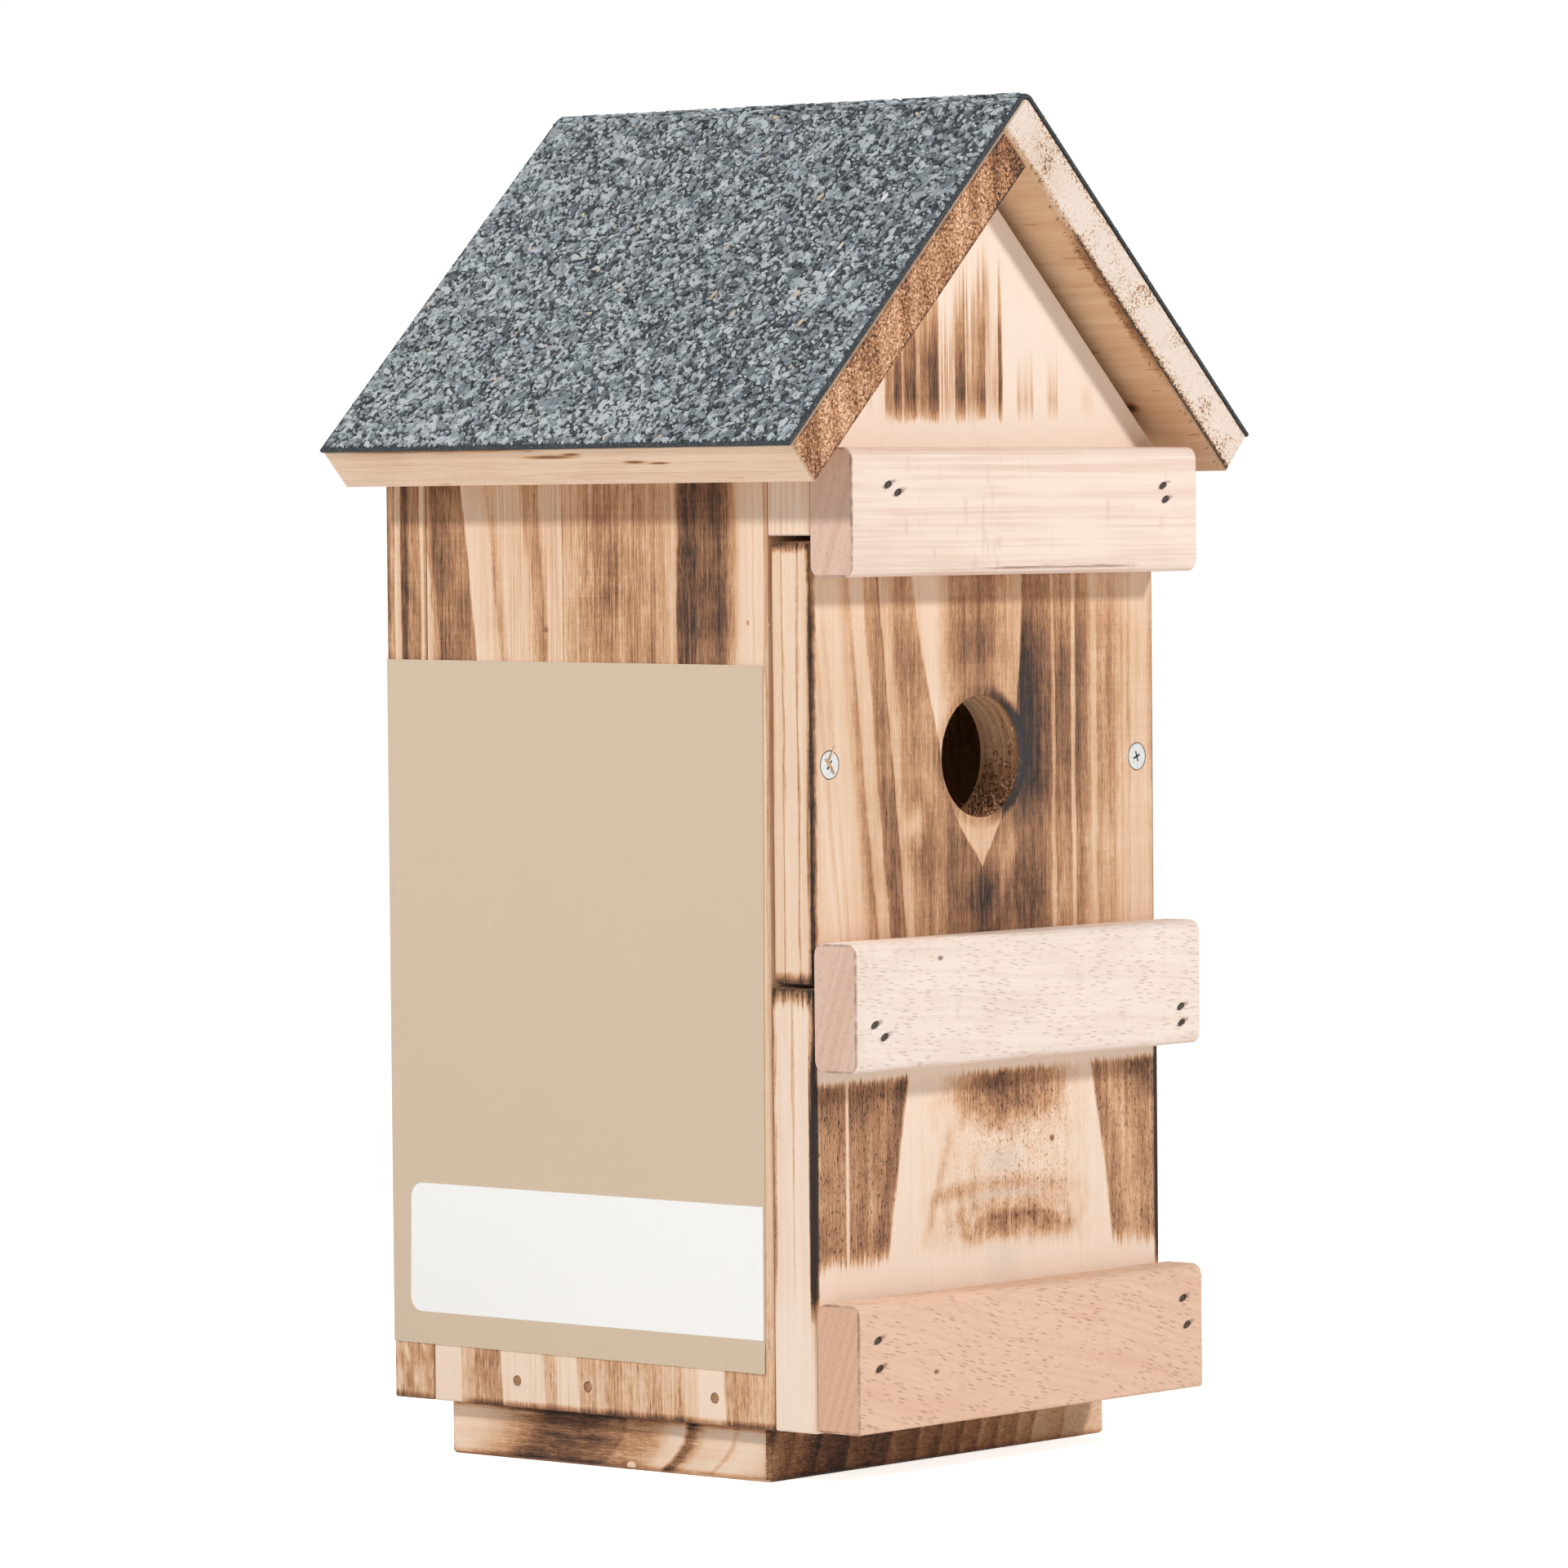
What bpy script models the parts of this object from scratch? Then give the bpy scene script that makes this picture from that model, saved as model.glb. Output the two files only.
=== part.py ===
"""Bird nest box: a gabled wooden box with a front panel that slides out from behind two rails.

Metres, +Z up, the front faces -Y. The origin is the middle of the box's footprint, on the
ground. Every board, screw and nail is an object of its own.
"""

import math

import bmesh
import bpy
from mathutils import Matrix, Vector

# Fits: the gap that touching boards keep, and how far a cutter runs past a face
JOINT_GAP = 0.0003
CUT_OVERRUN = 0.001

# Fineness: the steps of each kind of arc, and the edge angles that are softened or kept sharp
RAIL_ROUND_STEPS = 4
BASE_CORNER_STEPS = 3
RIDGE_STEPS = 4
FELT_FOLD_STEPS = 8
PANEL_ROUND_STEPS = 2
SOFTENED_ANGLE = math.radians(40)
SHARP_ANGLE = math.radians(35)

# Body: the outer width, and the four wall thicknesses
BODY_WIDTH = 0.142
FRONT_THICKNESS = 0.014
SIDE_THICKNESS = 0.014
SIDE_DEPTH = 0.1194
BACK_THICKNESS = 0.0142
FLOOR_THICKNESS = 0.014
BOARD_EDGE_BREAK = 0.0004

# Front, from the bottom up: a fixed board, the sliding panel, and the gable board
LOWER_BOARD_HEIGHT = 0.1135
SLOT_BELOW_PANEL = 0.001
PANEL_HEIGHT = 0.1132
SLOT_ABOVE_PANEL = 0.0015
PANEL_THICKNESS = 0.013
PANEL_FRONT_PLAY = 0.0003
PANEL_ROUND = 0.0014

# Entrance hole, bored at half the height of the panel, a little to one side
HOLE_RADIUS = 0.016
HOLE_SIDE_SHIFT = -0.0026
HOLE_SIDES = 40

# Rails nailed across the front, each with its own lap over the boards behind it
RAIL_HEIGHT = 0.033
RAIL_THICKNESS = 0.0142
RAIL_ROUND = 0.003
RAIL_SMALL_ROUND = 0.001
RAIL_END_BREAK = 0.0003
TOP_RAIL_LAP_ON_PANEL = 0.0092
MIDDLE_RAIL_LAP_ON_PANEL = 0.011
BOTTOM_RAIL_RAISE = 0.0005

# Base board, nailed on from below, set back from the front and a little to one side
BASE_THICKNESS = 0.0143
BASE_FRONT_INSET = 0.0214
BASE_BACK_INSET = 0.0142
BASE_LEFT_INSET = 0.00595
BASE_RIGHT_REACH = 0.00345
BASE_CORNER_ROUND = 0.0025
BASE_EDGE_BREAK = 0.0007

# Roof: two boards in a lap joint at the ridge, and a felt folded over them
ROOF_PITCH = math.radians(43.6)
ROOF_THICKNESS = 0.013
LEFT_SLOPE_LENGTH = 0.1185
RIGHT_SLOPE_LENGTH = 0.1152
ROOF_FRONT_OVERHANG = 0.015
RIDGE_ROUND = 0.0019
FELT_THICKNESS = 0.0018
FELT_EAVE_LAP = 0.0006
GABLE_AIR_GAP = 0.0032
GABLE_SIDE_ABOVE_RAIL = 0.00077

# Hole in the back wall for the hanging nail, below the ridge
HANGING_HOLE_RADIUS = 0.004
HANGING_HOLE_DROP = 0.04
HANGING_HOLE_SIDES = 20

# Countersunk panel screws, and the pilot holes that wait for their tips in the side walls
SCREW_EDGE_INSET = 0.0077
LEFT_SCREW_DROP = 0.0005
RIGHT_SCREW_DROP = 0.002
SCREW_HEAD_RADIUS = 0.0035
SCREW_HEAD_RIM = 0.0005
SCREW_CONE_DEPTH = 0.002
SCREW_SHANK_RADIUS = 0.0016
SCREW_SIDES = 24
RECESS_ARM = 0.0019
RECESS_SLOT = 0.0007
RECESS_DEPTH = 0.0014
RECESS_BOTTOM_SHARE = 0.45
LEFT_RECESS_TURN = math.radians(38)
RIGHT_RECESS_TURN = math.radians(-20)
PILOT_RADIUS = 0.0012
PILOT_DEPTH = 0.018
PILOT_SIDES = 12

# Wire nails: a flat head just below the surface, a round shank and a point
NAIL_HEAD_RADIUS = 0.0012
NAIL_HEAD_THICKNESS = 0.0007
NAIL_SHANK_RADIUS = 0.0008
NAIL_POINT_LENGTH = 0.0018
NAIL_SINK = 0.0003
NAIL_SIDES = 10
# Oval brads that hold the rails, driven with their long side a little aslant
BRAD_HEAD_HALF_LENGTH = 0.0013
BRAD_HEAD_HALF_WIDTH = 0.0006
BRAD_SHANK_HALF_LENGTH = 0.0009
BRAD_SHANK_HALF_WIDTH = 0.0004
BRAD_POINT_SHARE = 0.3
BRAD_TURN = math.radians(18)
BRAD_SIDES = 12
LONG_NAIL = 0.0385
SHORT_NAIL = 0.0245
ROOF_NAIL = 0.0215

# Nails on the upper rail: shares of the rail's length and height
TOP_RAIL_NAIL_SHARES = ((0.100, 0.71), (0.128, 0.65), (0.898, 0.69), (0.906, 0.58))
# Nails on the other rails: shares of a side wall's thickness, in from the end, and of the rail's height
MIDDLE_RAIL_LEFT_SHARES = ((0.52, 0.37), (0.79, 0.27))
MIDDLE_RAIL_RIGHT_SHARES = ((0.60, 0.31), (0.58, 0.18))
BOTTOM_RAIL_LEFT_SHARES = ((0.53, 0.72), (0.57, 0.50))
BOTTOM_RAIL_RIGHT_SHARES = ((0.60, 0.74), (0.48, 0.52))
# Nails through a side wall into the floor: shares of the wall's depth
FLOOR_NAIL_SHARES = (0.17, 0.54, 0.75)
# Nails through the back wall into the side walls: shares of the side wall's outer height
BACK_NAIL_SHARES = (0.12, 0.5, 0.86)
# Nails through the gable board into the side walls: shares of the gable board's straight side
GABLE_NAIL_SHARES = (0.25, 0.72)
# Nails through the base board into the floor: shares of the base board's width and of its depth
BASE_NAIL_WIDTH_SHARES = (0.3, 0.7)
BASE_NAIL_DEPTH_SHARES = (0.22, 0.78)
# Nails through a roof board: shares of the side wall's depth, and where they enter its top
ROOF_NAIL_SHARES = (0.15, 0.85)
ROOF_NAIL_ENTRY_SHARE = 0.36
# Nails through the lapping roof board into the other one's end: shares of the roof's depth
RIDGE_NAIL_SHARES = (0.14, 0.5, 0.86)

# Places that follow from the sizes above
BODY_DEPTH = FRONT_THICKNESS + JOINT_GAP + SIDE_DEPTH + JOINT_GAP + BACK_THICKNESS
ROOF_DEPTH = ROOF_FRONT_OVERHANG + BODY_DEPTH
BASE_WIDTH = BODY_WIDTH - BASE_LEFT_INSET + BASE_RIGHT_REACH
BASE_DEPTH = BODY_DEPTH - BASE_FRONT_INSET - BASE_BACK_INSET
ROOF_FRONT_Y = -ROOF_DEPTH / 2
FRONT_Y = ROOF_FRONT_Y + ROOF_FRONT_OVERHANG
SIDE_FRONT_Y = FRONT_Y + FRONT_THICKNESS + JOINT_GAP
SIDE_BACK_Y = SIDE_FRONT_Y + SIDE_DEPTH
BACK_Y = SIDE_BACK_Y + JOINT_GAP + BACK_THICKNESS
RAIL_FRONT_Y = FRONT_Y - JOINT_GAP - RAIL_THICKNESS
PANEL_FRONT_Y = FRONT_Y + PANEL_FRONT_PLAY
PANEL_BACK_Y = PANEL_FRONT_Y + PANEL_THICKNESS

ROOF_REACH = (ROOF_THICKNESS + JOINT_GAP + FELT_THICKNESS) * math.sin(ROOF_PITCH)
LEFT_REACH = (LEFT_SLOPE_LENGTH + FELT_EAVE_LAP) * math.cos(ROOF_PITCH) + ROOF_REACH
RIGHT_REACH = (RIGHT_SLOPE_LENGTH + FELT_EAVE_LAP) * math.cos(ROOF_PITCH) + ROOF_REACH
BODY_X = (LEFT_REACH - RIGHT_REACH) / 2
LEFT_X = BODY_X - BODY_WIDTH / 2
RIGHT_X = BODY_X + BODY_WIDTH / 2

BODY_Z = BASE_THICKNESS + JOINT_GAP
PANEL_Z = BODY_Z + LOWER_BOARD_HEIGHT + SLOT_BELOW_PANEL
PANEL_MIDDLE_Z = PANEL_Z + PANEL_HEIGHT / 2
GABLE_Z = PANEL_Z + PANEL_HEIGHT + SLOT_ABOVE_PANEL
TOP_RAIL_Z = PANEL_Z + PANEL_HEIGHT - TOP_RAIL_LAP_ON_PANEL
GABLE_SHOULDER_Z = TOP_RAIL_Z + RAIL_HEIGHT + GABLE_SIDE_ABOVE_RAIL
ROOF_RISE = BODY_WIDTH / 2 * math.tan(ROOF_PITCH)
RIDGE_Z = GABLE_SHOULDER_Z + GABLE_AIR_GAP / math.cos(ROOF_PITCH) + ROOF_RISE
MIDDLE_RAIL_Z = PANEL_Z + MIDDLE_RAIL_LAP_ON_PANEL - RAIL_HEIGHT
BOTTOM_RAIL_Z = BODY_Z + BOTTOM_RAIL_RAISE

FRONT = Vector((0, -1, 0))
BACK = Vector((0, 1, 0))
RIGHT = Vector((1, 0, 0))
LEFT = Vector((-1, 0, 0))
UP = Vector((0, 0, 1))


def clear_scene():
    for item in list(bpy.data.objects):
        bpy.data.objects.remove(item, do_unlink=True)


def finish(name, colour, roughness, metallic=0.0):
    """A plain Principled material."""
    material = bpy.data.materials.new(name)
    material.use_nodes = True
    shader = material.node_tree.nodes["Principled BSDF"]
    shader.inputs["Base Color"].default_value = (*colour, 1)
    shader.inputs["Roughness"].default_value = roughness
    shader.inputs["Metallic"].default_value = metallic
    material.diffuse_color = (*colour, 1)
    return material


def new_object(name, mesh_data, material=None):
    """Puts a finished bmesh into the scene as an object."""
    mesh = bpy.data.meshes.new(name)
    bmesh.ops.recalc_face_normals(mesh_data, faces=mesh_data.faces)
    mesh_data.to_mesh(mesh)
    mesh_data.free()
    piece = bpy.data.objects.new(name, mesh)
    bpy.context.scene.collection.objects.link(piece)
    if material:
        mesh.materials.append(material)
    return piece


def extruded(name, outline, start, end, material=None):
    """Pushes a closed outline, a list of 3-D points, from one vector offset to another."""
    mesh_data = bmesh.new()
    corners = [mesh_data.verts.new(Vector(point) + start) for point in outline]
    face = mesh_data.faces.new(corners)
    pushed = bmesh.ops.extrude_face_region(mesh_data, geom=[face])
    moved = [item for item in pushed["geom"] if isinstance(item, bmesh.types.BMVert)]
    bmesh.ops.translate(mesh_data, verts=moved, vec=end - start)
    return new_object(name, mesh_data, material)


def along_depth(name, outline, front_y, back_y, material=None):
    """A board cut to an outline of (x, z) points and as thick as the way from front to back."""
    points = [(x, 0, z) for x, z in outline]
    return extruded(name, points, BACK * front_y, BACK * back_y, material)


def rectangle(low_x, high_x, low_z, high_z):
    return [(low_x, low_z), (high_x, low_z), (high_x, high_z), (low_x, high_z)]


def arc(centre, radius, first_angle, last_angle, steps):
    """Points on an arc, as (first, second) pairs, angles from the first axis."""
    points = []
    for step in range(steps + 1):
        angle = first_angle + (last_angle - first_angle) * step / steps
        across = centre[0] + radius * math.cos(angle)
        along = centre[1] + radius * math.sin(angle)
        points.append((across, along))
    return points


def rounded_rectangle(low, high, radii, steps):
    """Corners from the low one, anticlockwise, each with its own radius."""
    corners = [(low[0], low[1]), (high[0], low[1]), (high[0], high[1]), (low[0], high[1])]
    points = []
    for turn, (corner, radius) in enumerate(zip(corners, radii)):
        side = (1, -1, -1, 1)[turn]
        rise = (1, 1, -1, -1)[turn]
        centre = (corner[0] + side * radius, corner[1] + rise * radius)
        first = math.pi + turn * math.pi / 2
        points += arc(centre, radius, first, first + math.pi / 2, steps)
    return points


def set_origin(piece, point):
    """Moves a piece's origin to a point and leaves its shape where it is."""
    piece.data.transform(Matrix.Translation(-point))
    piece.location = point


def carry(piece, carrier):
    """Makes a piece move with the one that carries it."""
    piece.parent = carrier
    piece.matrix_parent_inverse = Matrix.Translation(-carrier.location)


def soften(piece, width, segments=1):
    """Breaks the sharp edges, and leaves the small steps of a round outline alone."""
    bevel = piece.modifiers.new("edges", "BEVEL")
    bevel.width = width
    bevel.segments = segments
    bevel.limit_method = "ANGLE"
    bevel.angle_limit = SOFTENED_ANGLE
    bevel.harden_normals = False


def smooth(piece):
    piece.data.shade_smooth()
    piece.data.set_sharp_from_angle(angle=SHARP_ANGLE)


def turned(name, profile, sides, place, direction, material=None):
    """Turns a profile of (radius, distance) pairs about an axis that starts at place."""
    mesh_data = bmesh.new()
    rings = []
    for radius, distance in profile:
        if radius == 0:
            rings.append([mesh_data.verts.new((0, 0, distance))])
            continue
        ring = []
        for step in range(sides):
            angle = 2 * math.pi * step / sides
            ring.append(mesh_data.verts.new((radius * math.cos(angle), radius * math.sin(angle), distance)))
        rings.append(ring)
    for near, far in zip(rings, rings[1:]):
        for step in range(sides):
            corners = [near[step % len(near)], near[(step + 1) % len(near)]]
            corners += [far[(step + 1) % len(far)], far[step % len(far)]]
            mesh_data.faces.new(list(dict.fromkeys(corners)))
    for ring in (rings[0], rings[-1]):
        if len(ring) > 1:
            mesh_data.faces.new(ring)
    turn = UP.rotation_difference(direction).to_matrix().to_4x4()
    piece = new_object(name, mesh_data, material)
    piece.data.transform(turn)
    piece.location = place
    return piece


def as_cutter(piece):
    piece.hide_render = True
    piece.display_type = "WIRE"
    return piece


def cut_from(board, cutter):
    """Takes a cutter out of a board. Each board has one Boolean, over its own set of cutters."""
    name = "cuts_in_" + board.name
    cuts = bpy.data.collections.get(name)
    if cuts is None:
        cuts = bpy.data.collections.new(name)
        bpy.context.scene.collection.children.link(cuts)
        boolean = board.modifiers.new("cuts", "BOOLEAN")
        boolean.operation = "DIFFERENCE"
        boolean.solver = "EXACT"
        boolean.operand_type = "COLLECTION"
        boolean.collection = cuts
    cuts.objects.link(cutter)


def nail(name, surface_point, direction, length, boards, material):
    """A nail driven from a surface, and the hole for it in each board that it passes through."""
    inward = direction.normalized()
    shank_end = length - NAIL_POINT_LENGTH
    profile = (
        (NAIL_HEAD_RADIUS, 0),
        (NAIL_HEAD_RADIUS, NAIL_HEAD_THICKNESS),
        (NAIL_SHANK_RADIUS, NAIL_HEAD_THICKNESS),
        (NAIL_SHANK_RADIUS, shank_end),
        (0, length),
    )
    head_place = surface_point + inward * NAIL_SINK
    piece = turned(name, profile, NAIL_SIDES, head_place, inward, material)
    smooth(piece)
    wide = NAIL_HEAD_RADIUS + JOINT_GAP
    narrow = NAIL_SHANK_RADIUS + JOINT_GAP
    shoulder = NAIL_SINK + NAIL_HEAD_THICKNESS + JOINT_GAP
    hole_end = NAIL_SINK + length + JOINT_GAP
    hole = ((wide, -CUT_OVERRUN), (wide, shoulder), (narrow, shoulder), (narrow, hole_end))
    cutter = as_cutter(turned("hole_of_" + name, hole, NAIL_SIDES, surface_point, inward))
    for board in boards:
        cut_from(board, cutter)
    return piece


def oval_turned(name, rows, place, material=None):
    """Oval sections from the front backwards. Each row: half length, half width and depth."""
    mesh_data = bmesh.new()
    rings = []
    for half_length, half_width, depth in rows:
        ring = []
        for step in range(BRAD_SIDES):
            angle = math.tau * step / BRAD_SIDES
            across = half_length * math.cos(angle)
            along = half_width * math.sin(angle)
            x = across * math.cos(BRAD_TURN) - along * math.sin(BRAD_TURN)
            z = across * math.sin(BRAD_TURN) + along * math.cos(BRAD_TURN)
            ring.append(mesh_data.verts.new((x, depth, z)))
        rings.append(ring)
    for ring, next_ring in zip(rings, rings[1:]):
        for step in range(BRAD_SIDES):
            after = (step + 1) % BRAD_SIDES
            mesh_data.faces.new([ring[step], ring[after], next_ring[after], next_ring[step]])
    mesh_data.faces.new(rings[0])
    mesh_data.faces.new(rings[-1])
    piece = new_object(name, mesh_data, material)
    piece.location = place
    return piece


def brad(name, surface_point, length, boards, material):
    """An oval brad driven straight back, and the hole for it in each board that it passes through."""
    head = (BRAD_HEAD_HALF_LENGTH, BRAD_HEAD_HALF_WIDTH)
    shank = (BRAD_SHANK_HALF_LENGTH, BRAD_SHANK_HALF_WIDTH)
    point = (shank[0] * BRAD_POINT_SHARE, shank[1] * BRAD_POINT_SHARE)
    rows = (
        (*head, 0),
        (*head, NAIL_HEAD_THICKNESS),
        (*shank, NAIL_HEAD_THICKNESS),
        (*shank, length - NAIL_POINT_LENGTH),
        (*point, length),
    )
    piece = oval_turned(name, rows, surface_point + BACK * NAIL_SINK, material)
    smooth(piece)
    wide = (head[0] + JOINT_GAP, head[1] + JOINT_GAP)
    narrow = (shank[0] + JOINT_GAP, shank[1] + JOINT_GAP)
    shoulder = NAIL_SINK + NAIL_HEAD_THICKNESS + JOINT_GAP
    hole_end = NAIL_SINK + length + JOINT_GAP
    hole = ((*wide, -CUT_OVERRUN), (*wide, shoulder), (*narrow, shoulder), (*narrow, hole_end))
    cutter = as_cutter(oval_turned("hole_of_" + name, hole, surface_point))
    for board in boards:
        cut_from(board, cutter)
    return piece


def slope_frame(side):
    """Down-slope direction and outward normal of one roof slope, side -1 at the left and 1 at the right."""
    down = Vector((side * math.cos(ROOF_PITCH), 0, -math.sin(ROOF_PITCH)))
    out = Vector((side * math.sin(ROOF_PITCH), 0, math.cos(ROOF_PITCH)))
    return down, out


def ridge_point():
    """Where the undersides of the two roof boards meet."""
    return Vector((BODY_X, 0, RIDGE_Z))


def below_roof(x, gap):
    """Height of a line that stays a gap below the underside of the roof."""
    return RIDGE_Z - abs(x - BODY_X) * math.tan(ROOF_PITCH) - gap / math.cos(ROOF_PITCH)


def flat(points):
    return [(point.x, point.z) for point in points]


def make_side_wall(name, outer_x, inner_x, material):
    """A wall whose top is bevelled to the pitch of the roof board that it carries."""
    outline = [
        (outer_x, BODY_Z),
        (inner_x, BODY_Z),
        (inner_x, below_roof(inner_x, JOINT_GAP)),
        (outer_x, below_roof(outer_x, JOINT_GAP)),
    ]
    wall = along_depth(name, outline, SIDE_FRONT_Y, SIDE_BACK_Y, material)
    soften(wall, BOARD_EDGE_BREAK)
    return wall


def gabled_outline(bottom_z):
    """A board as wide as the body, cut to the roof's two slopes."""
    shoulder_z = below_roof(LEFT_X, GABLE_AIR_GAP)
    tip_z = below_roof(BODY_X, GABLE_AIR_GAP)
    top = [(RIGHT_X, shoulder_z), (BODY_X, tip_z), (LEFT_X, shoulder_z)]
    return [(LEFT_X, bottom_z), (RIGHT_X, bottom_z)] + top


def make_back_wall(material):
    wall = along_depth("back_wall", gabled_outline(BODY_Z), BACK_Y - BACK_THICKNESS, BACK_Y, material)
    soften(wall, BOARD_EDGE_BREAK)
    hole = ((HANGING_HOLE_RADIUS, -CUT_OVERRUN), (HANGING_HOLE_RADIUS, BACK_THICKNESS + CUT_OVERRUN))
    place = Vector((BODY_X, BACK_Y - BACK_THICKNESS, RIDGE_Z - HANGING_HOLE_DROP))
    cut_from(wall, as_cutter(turned("hanging_hole", hole, HANGING_HOLE_SIDES, place, BACK)))
    return wall


def make_front_gable_board(material):
    outline = gabled_outline(GABLE_Z)
    board = along_depth("front_gable_board", outline, FRONT_Y, FRONT_Y + FRONT_THICKNESS, material)
    soften(board, BOARD_EDGE_BREAK)
    return board


def make_lower_front_board(material):
    outline = rectangle(LEFT_X, RIGHT_X, BODY_Z, BODY_Z + LOWER_BOARD_HEIGHT)
    board = along_depth("lower_front_board", outline, FRONT_Y, FRONT_Y + FRONT_THICKNESS, material)
    soften(board, BOARD_EDGE_BREAK)
    return board


def make_front_panel(material):
    """The sliding panel, with the entrance hole. Its origin is its middle, on the line it slides along."""
    outline = rectangle(LEFT_X, RIGHT_X, PANEL_Z, PANEL_Z + PANEL_HEIGHT)
    panel = along_depth("front_panel", outline, PANEL_FRONT_Y, PANEL_BACK_Y, material)
    soften(panel, PANEL_ROUND, PANEL_ROUND_STEPS)
    hole = ((HOLE_RADIUS, -CUT_OVERRUN), (HOLE_RADIUS, PANEL_THICKNESS + CUT_OVERRUN))
    place = Vector((BODY_X + HOLE_SIDE_SHIFT, PANEL_FRONT_Y, PANEL_MIDDLE_Z))
    cut_from(panel, as_cutter(turned("entrance_hole", hole, HOLE_SIDES, place, BACK)))
    set_origin(panel, Vector((BODY_X, PANEL_FRONT_Y + PANEL_THICKNESS / 2, PANEL_MIDDLE_Z)))
    return panel


def make_floor_board(material):
    low_x = LEFT_X + SIDE_THICKNESS + JOINT_GAP
    high_x = RIGHT_X - SIDE_THICKNESS - JOINT_GAP
    outline = rectangle(low_x, high_x, BODY_Z, BODY_Z + FLOOR_THICKNESS)
    board = along_depth("floor_board", outline, SIDE_FRONT_Y, SIDE_BACK_Y, material)
    soften(board, BOARD_EDGE_BREAK)
    return board


def make_base_board(material):
    """The board that the box stands on, with worn upright corners."""
    low = (LEFT_X + BASE_LEFT_INSET, FRONT_Y + BASE_FRONT_INSET)
    high = (low[0] + BASE_WIDTH, low[1] + BASE_DEPTH)
    corners = rounded_rectangle(low, high, (BASE_CORNER_ROUND,) * 4, BASE_CORNER_STEPS)
    outline = [(x, y, 0) for x, y in corners]
    board = extruded("base_board", outline, UP * 0, UP * BASE_THICKNESS, material)
    soften(board, BASE_EDGE_BREAK)
    return board


def make_rail(name, low_z, radii, material):
    """A rail with its own four edge radii: front bottom, back bottom, back top, front top."""
    low = (RAIL_FRONT_Y, low_z)
    high = (RAIL_FRONT_Y + RAIL_THICKNESS, low_z + RAIL_HEIGHT)
    outline = [(0, y, z) for y, z in rounded_rectangle(low, high, radii, RAIL_ROUND_STEPS)]
    rail = extruded(name, outline, RIGHT * LEFT_X, RIGHT * RIGHT_X, material)
    soften(rail, RAIL_END_BREAK)
    return rail


def make_roof_board_left(material):
    """The board that ends under the other one. Its top end is cut to that board's underside."""
    down, out = slope_frame(-1)
    ridge = ridge_point()
    double_sine = math.sin(2 * ROOF_PITCH)
    double_cosine = math.cos(2 * ROOF_PITCH)
    inner_top = ridge + down * (JOINT_GAP / double_sine)
    outer_drop = (JOINT_GAP + ROOF_THICKNESS * double_cosine) / double_sine
    outer_top = ridge + down * outer_drop + out * ROOF_THICKNESS
    inner_eave = ridge + down * LEFT_SLOPE_LENGTH
    outer_eave = inner_eave + out * ROOF_THICKNESS
    outline = flat([inner_top, outer_top, outer_eave, inner_eave])
    board = along_depth("roof_board_left", outline, ROOF_FRONT_Y, ROOF_FRONT_Y + ROOF_DEPTH, material)
    soften(board, BOARD_EDGE_BREAK)
    return board


def ridge_arc(radius, steps):
    """The rounded top of the ridge, right slope to left slope, all its layers about one axis."""
    centre_z = RIDGE_Z + (ROOF_THICKNESS - RIDGE_ROUND) / math.cos(ROOF_PITCH)
    first = math.pi / 2 - ROOF_PITCH
    return arc((BODY_X, centre_z), radius, first, math.pi - first, steps)


def make_roof_board_right(material):
    """The board that laps over the other one's end, up to the ridge."""
    down, out = slope_frame(1)
    ridge = ridge_point()
    inner_top = ridge - down * (ROOF_THICKNESS / math.sin(2 * ROOF_PITCH))
    inner_eave = ridge + down * RIGHT_SLOPE_LENGTH
    outer_eave = inner_eave + out * ROOF_THICKNESS
    outline = flat([inner_top, inner_eave, outer_eave]) + ridge_arc(RIDGE_ROUND, RIDGE_STEPS)
    board = along_depth("roof_board_right", outline, ROOF_FRONT_Y, ROOF_FRONT_Y + ROOF_DEPTH, material)
    soften(board, BOARD_EDGE_BREAK)
    return board


def make_roofing_felt(material):
    """One sheet of felt, folded over the ridge and cut off at the eaves."""
    left_down, left_out = slope_frame(-1)
    right_down, right_out = slope_frame(1)
    ridge = ridge_point()
    inner_rise = ROOF_THICKNESS + JOINT_GAP
    outer_rise = inner_rise + FELT_THICKNESS
    left_end = ridge + left_down * (LEFT_SLOPE_LENGTH + FELT_EAVE_LAP)
    right_end = ridge + right_down * (RIGHT_SLOPE_LENGTH + FELT_EAVE_LAP)
    inner_arc = ridge_arc(RIDGE_ROUND + JOINT_GAP, FELT_FOLD_STEPS)
    outer_arc = ridge_arc(RIDGE_ROUND + JOINT_GAP + FELT_THICKNESS, FELT_FOLD_STEPS)
    outline = flat([right_end + right_out * outer_rise]) + outer_arc
    outline += flat([left_end + left_out * outer_rise, left_end + left_out * inner_rise])
    outline += list(reversed(inner_arc)) + flat([right_end + right_out * inner_rise])
    felt = along_depth("roofing_felt", outline, ROOF_FRONT_Y, ROOF_FRONT_Y + ROOF_DEPTH, material)
    smooth(felt)
    return felt


def cross_outline(arm, slot):
    """A plus sign: twelve corners of a cross recess."""
    half = slot / 2
    return [
        (arm, -half), (arm, half), (half, half), (half, arm), (-half, arm), (-half, half),
        (-arm, half), (-arm, -half), (-half, -half), (-half, -arm), (half, -arm), (half, -half),
    ]


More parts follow.
